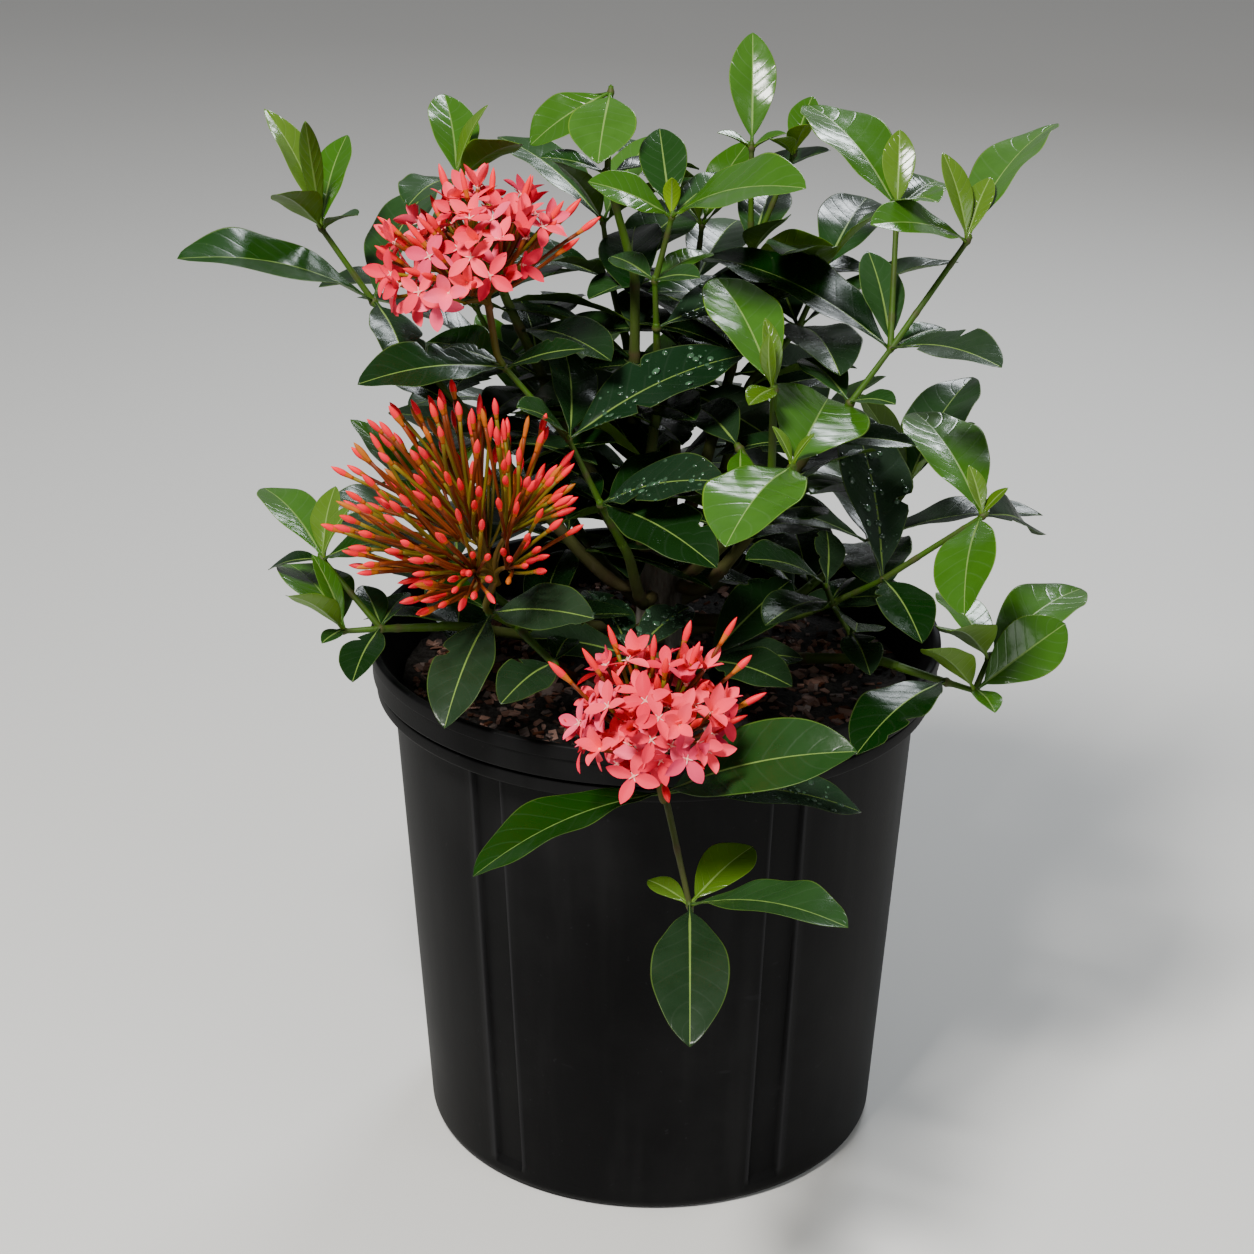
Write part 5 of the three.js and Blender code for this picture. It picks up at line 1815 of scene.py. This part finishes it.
class IXORA_OT_leaves(bpy.types.Operator):
    """Grows the leaves, each age in its own pieces"""
    bl_idname = "ixora.leaves"
    bl_label = "Grow the Leaves"

    def execute(self, context):
        outer, inner = grow_leaves()
        self.report({"INFO"}, f"{outer} leaves and {inner} inside the crown")
        return {"FINISHED"}


class IXORA_OT_flowers(bpy.types.Operator):
    """Grows the two open flower heads and the head of buds"""
    bl_idname = "ixora.flowers"
    bl_label = "Grow the Flowers"

    def execute(self, context):
        grow_flowers()
        return {"FINISHED"}


OPERATORS = (IXORA_OT_stage, IXORA_OT_pot, IXORA_OT_soil, IXORA_OT_limbs, IXORA_OT_leaves, IXORA_OT_flowers)
SETTINGS = {
    "ixora_stage": IXORA_PG_stage,
    "ixora_pot": IXORA_PG_pot,
    "ixora_limbs": IXORA_PG_limbs,
    "ixora_leaves": IXORA_PG_leaves,
    "ixora_flowers": IXORA_PG_flowers,
}


class IXORA_PT_panel(bpy.types.Panel):
    bl_label = "Potted Ixora"
    bl_idname = "IXORA_PT_panel"
    bl_space_type = "VIEW_3D"
    bl_region_type = "UI"
    bl_category = "Ixora"

    def draw(self, context):
        for operator in OPERATORS:
            self.layout.operator(operator.bl_idname)
        for name, group in SETTINGS.items():
            box = self.layout.box()
            for setting in group.__annotations__:
                box.prop(getattr(context.scene, name), setting)


def register():
    for group in SETTINGS.values():
        bpy.utils.register_class(group)
    for operator in OPERATORS:
        bpy.utils.register_class(operator)
    bpy.utils.register_class(IXORA_PT_panel)
    for name, group in SETTINGS.items():
        setattr(bpy.types.Scene, name, PointerProperty(type=group))


def unregister():
    for name in SETTINGS:
        delattr(bpy.types.Scene, name)
    for kind in (IXORA_PT_panel, *reversed(OPERATORS), *reversed(tuple(SETTINGS.values()))):
        bpy.utils.unregister_class(kind)


def main():
    register()
    bpy.ops.ixora.stage()
    bpy.ops.ixora.pot()
    bpy.ops.ixora.soil()
    bpy.ops.ixora.limbs()
    bpy.ops.ixora.leaves()
    bpy.ops.ixora.flowers()


if __name__ == "__main__":
    main()
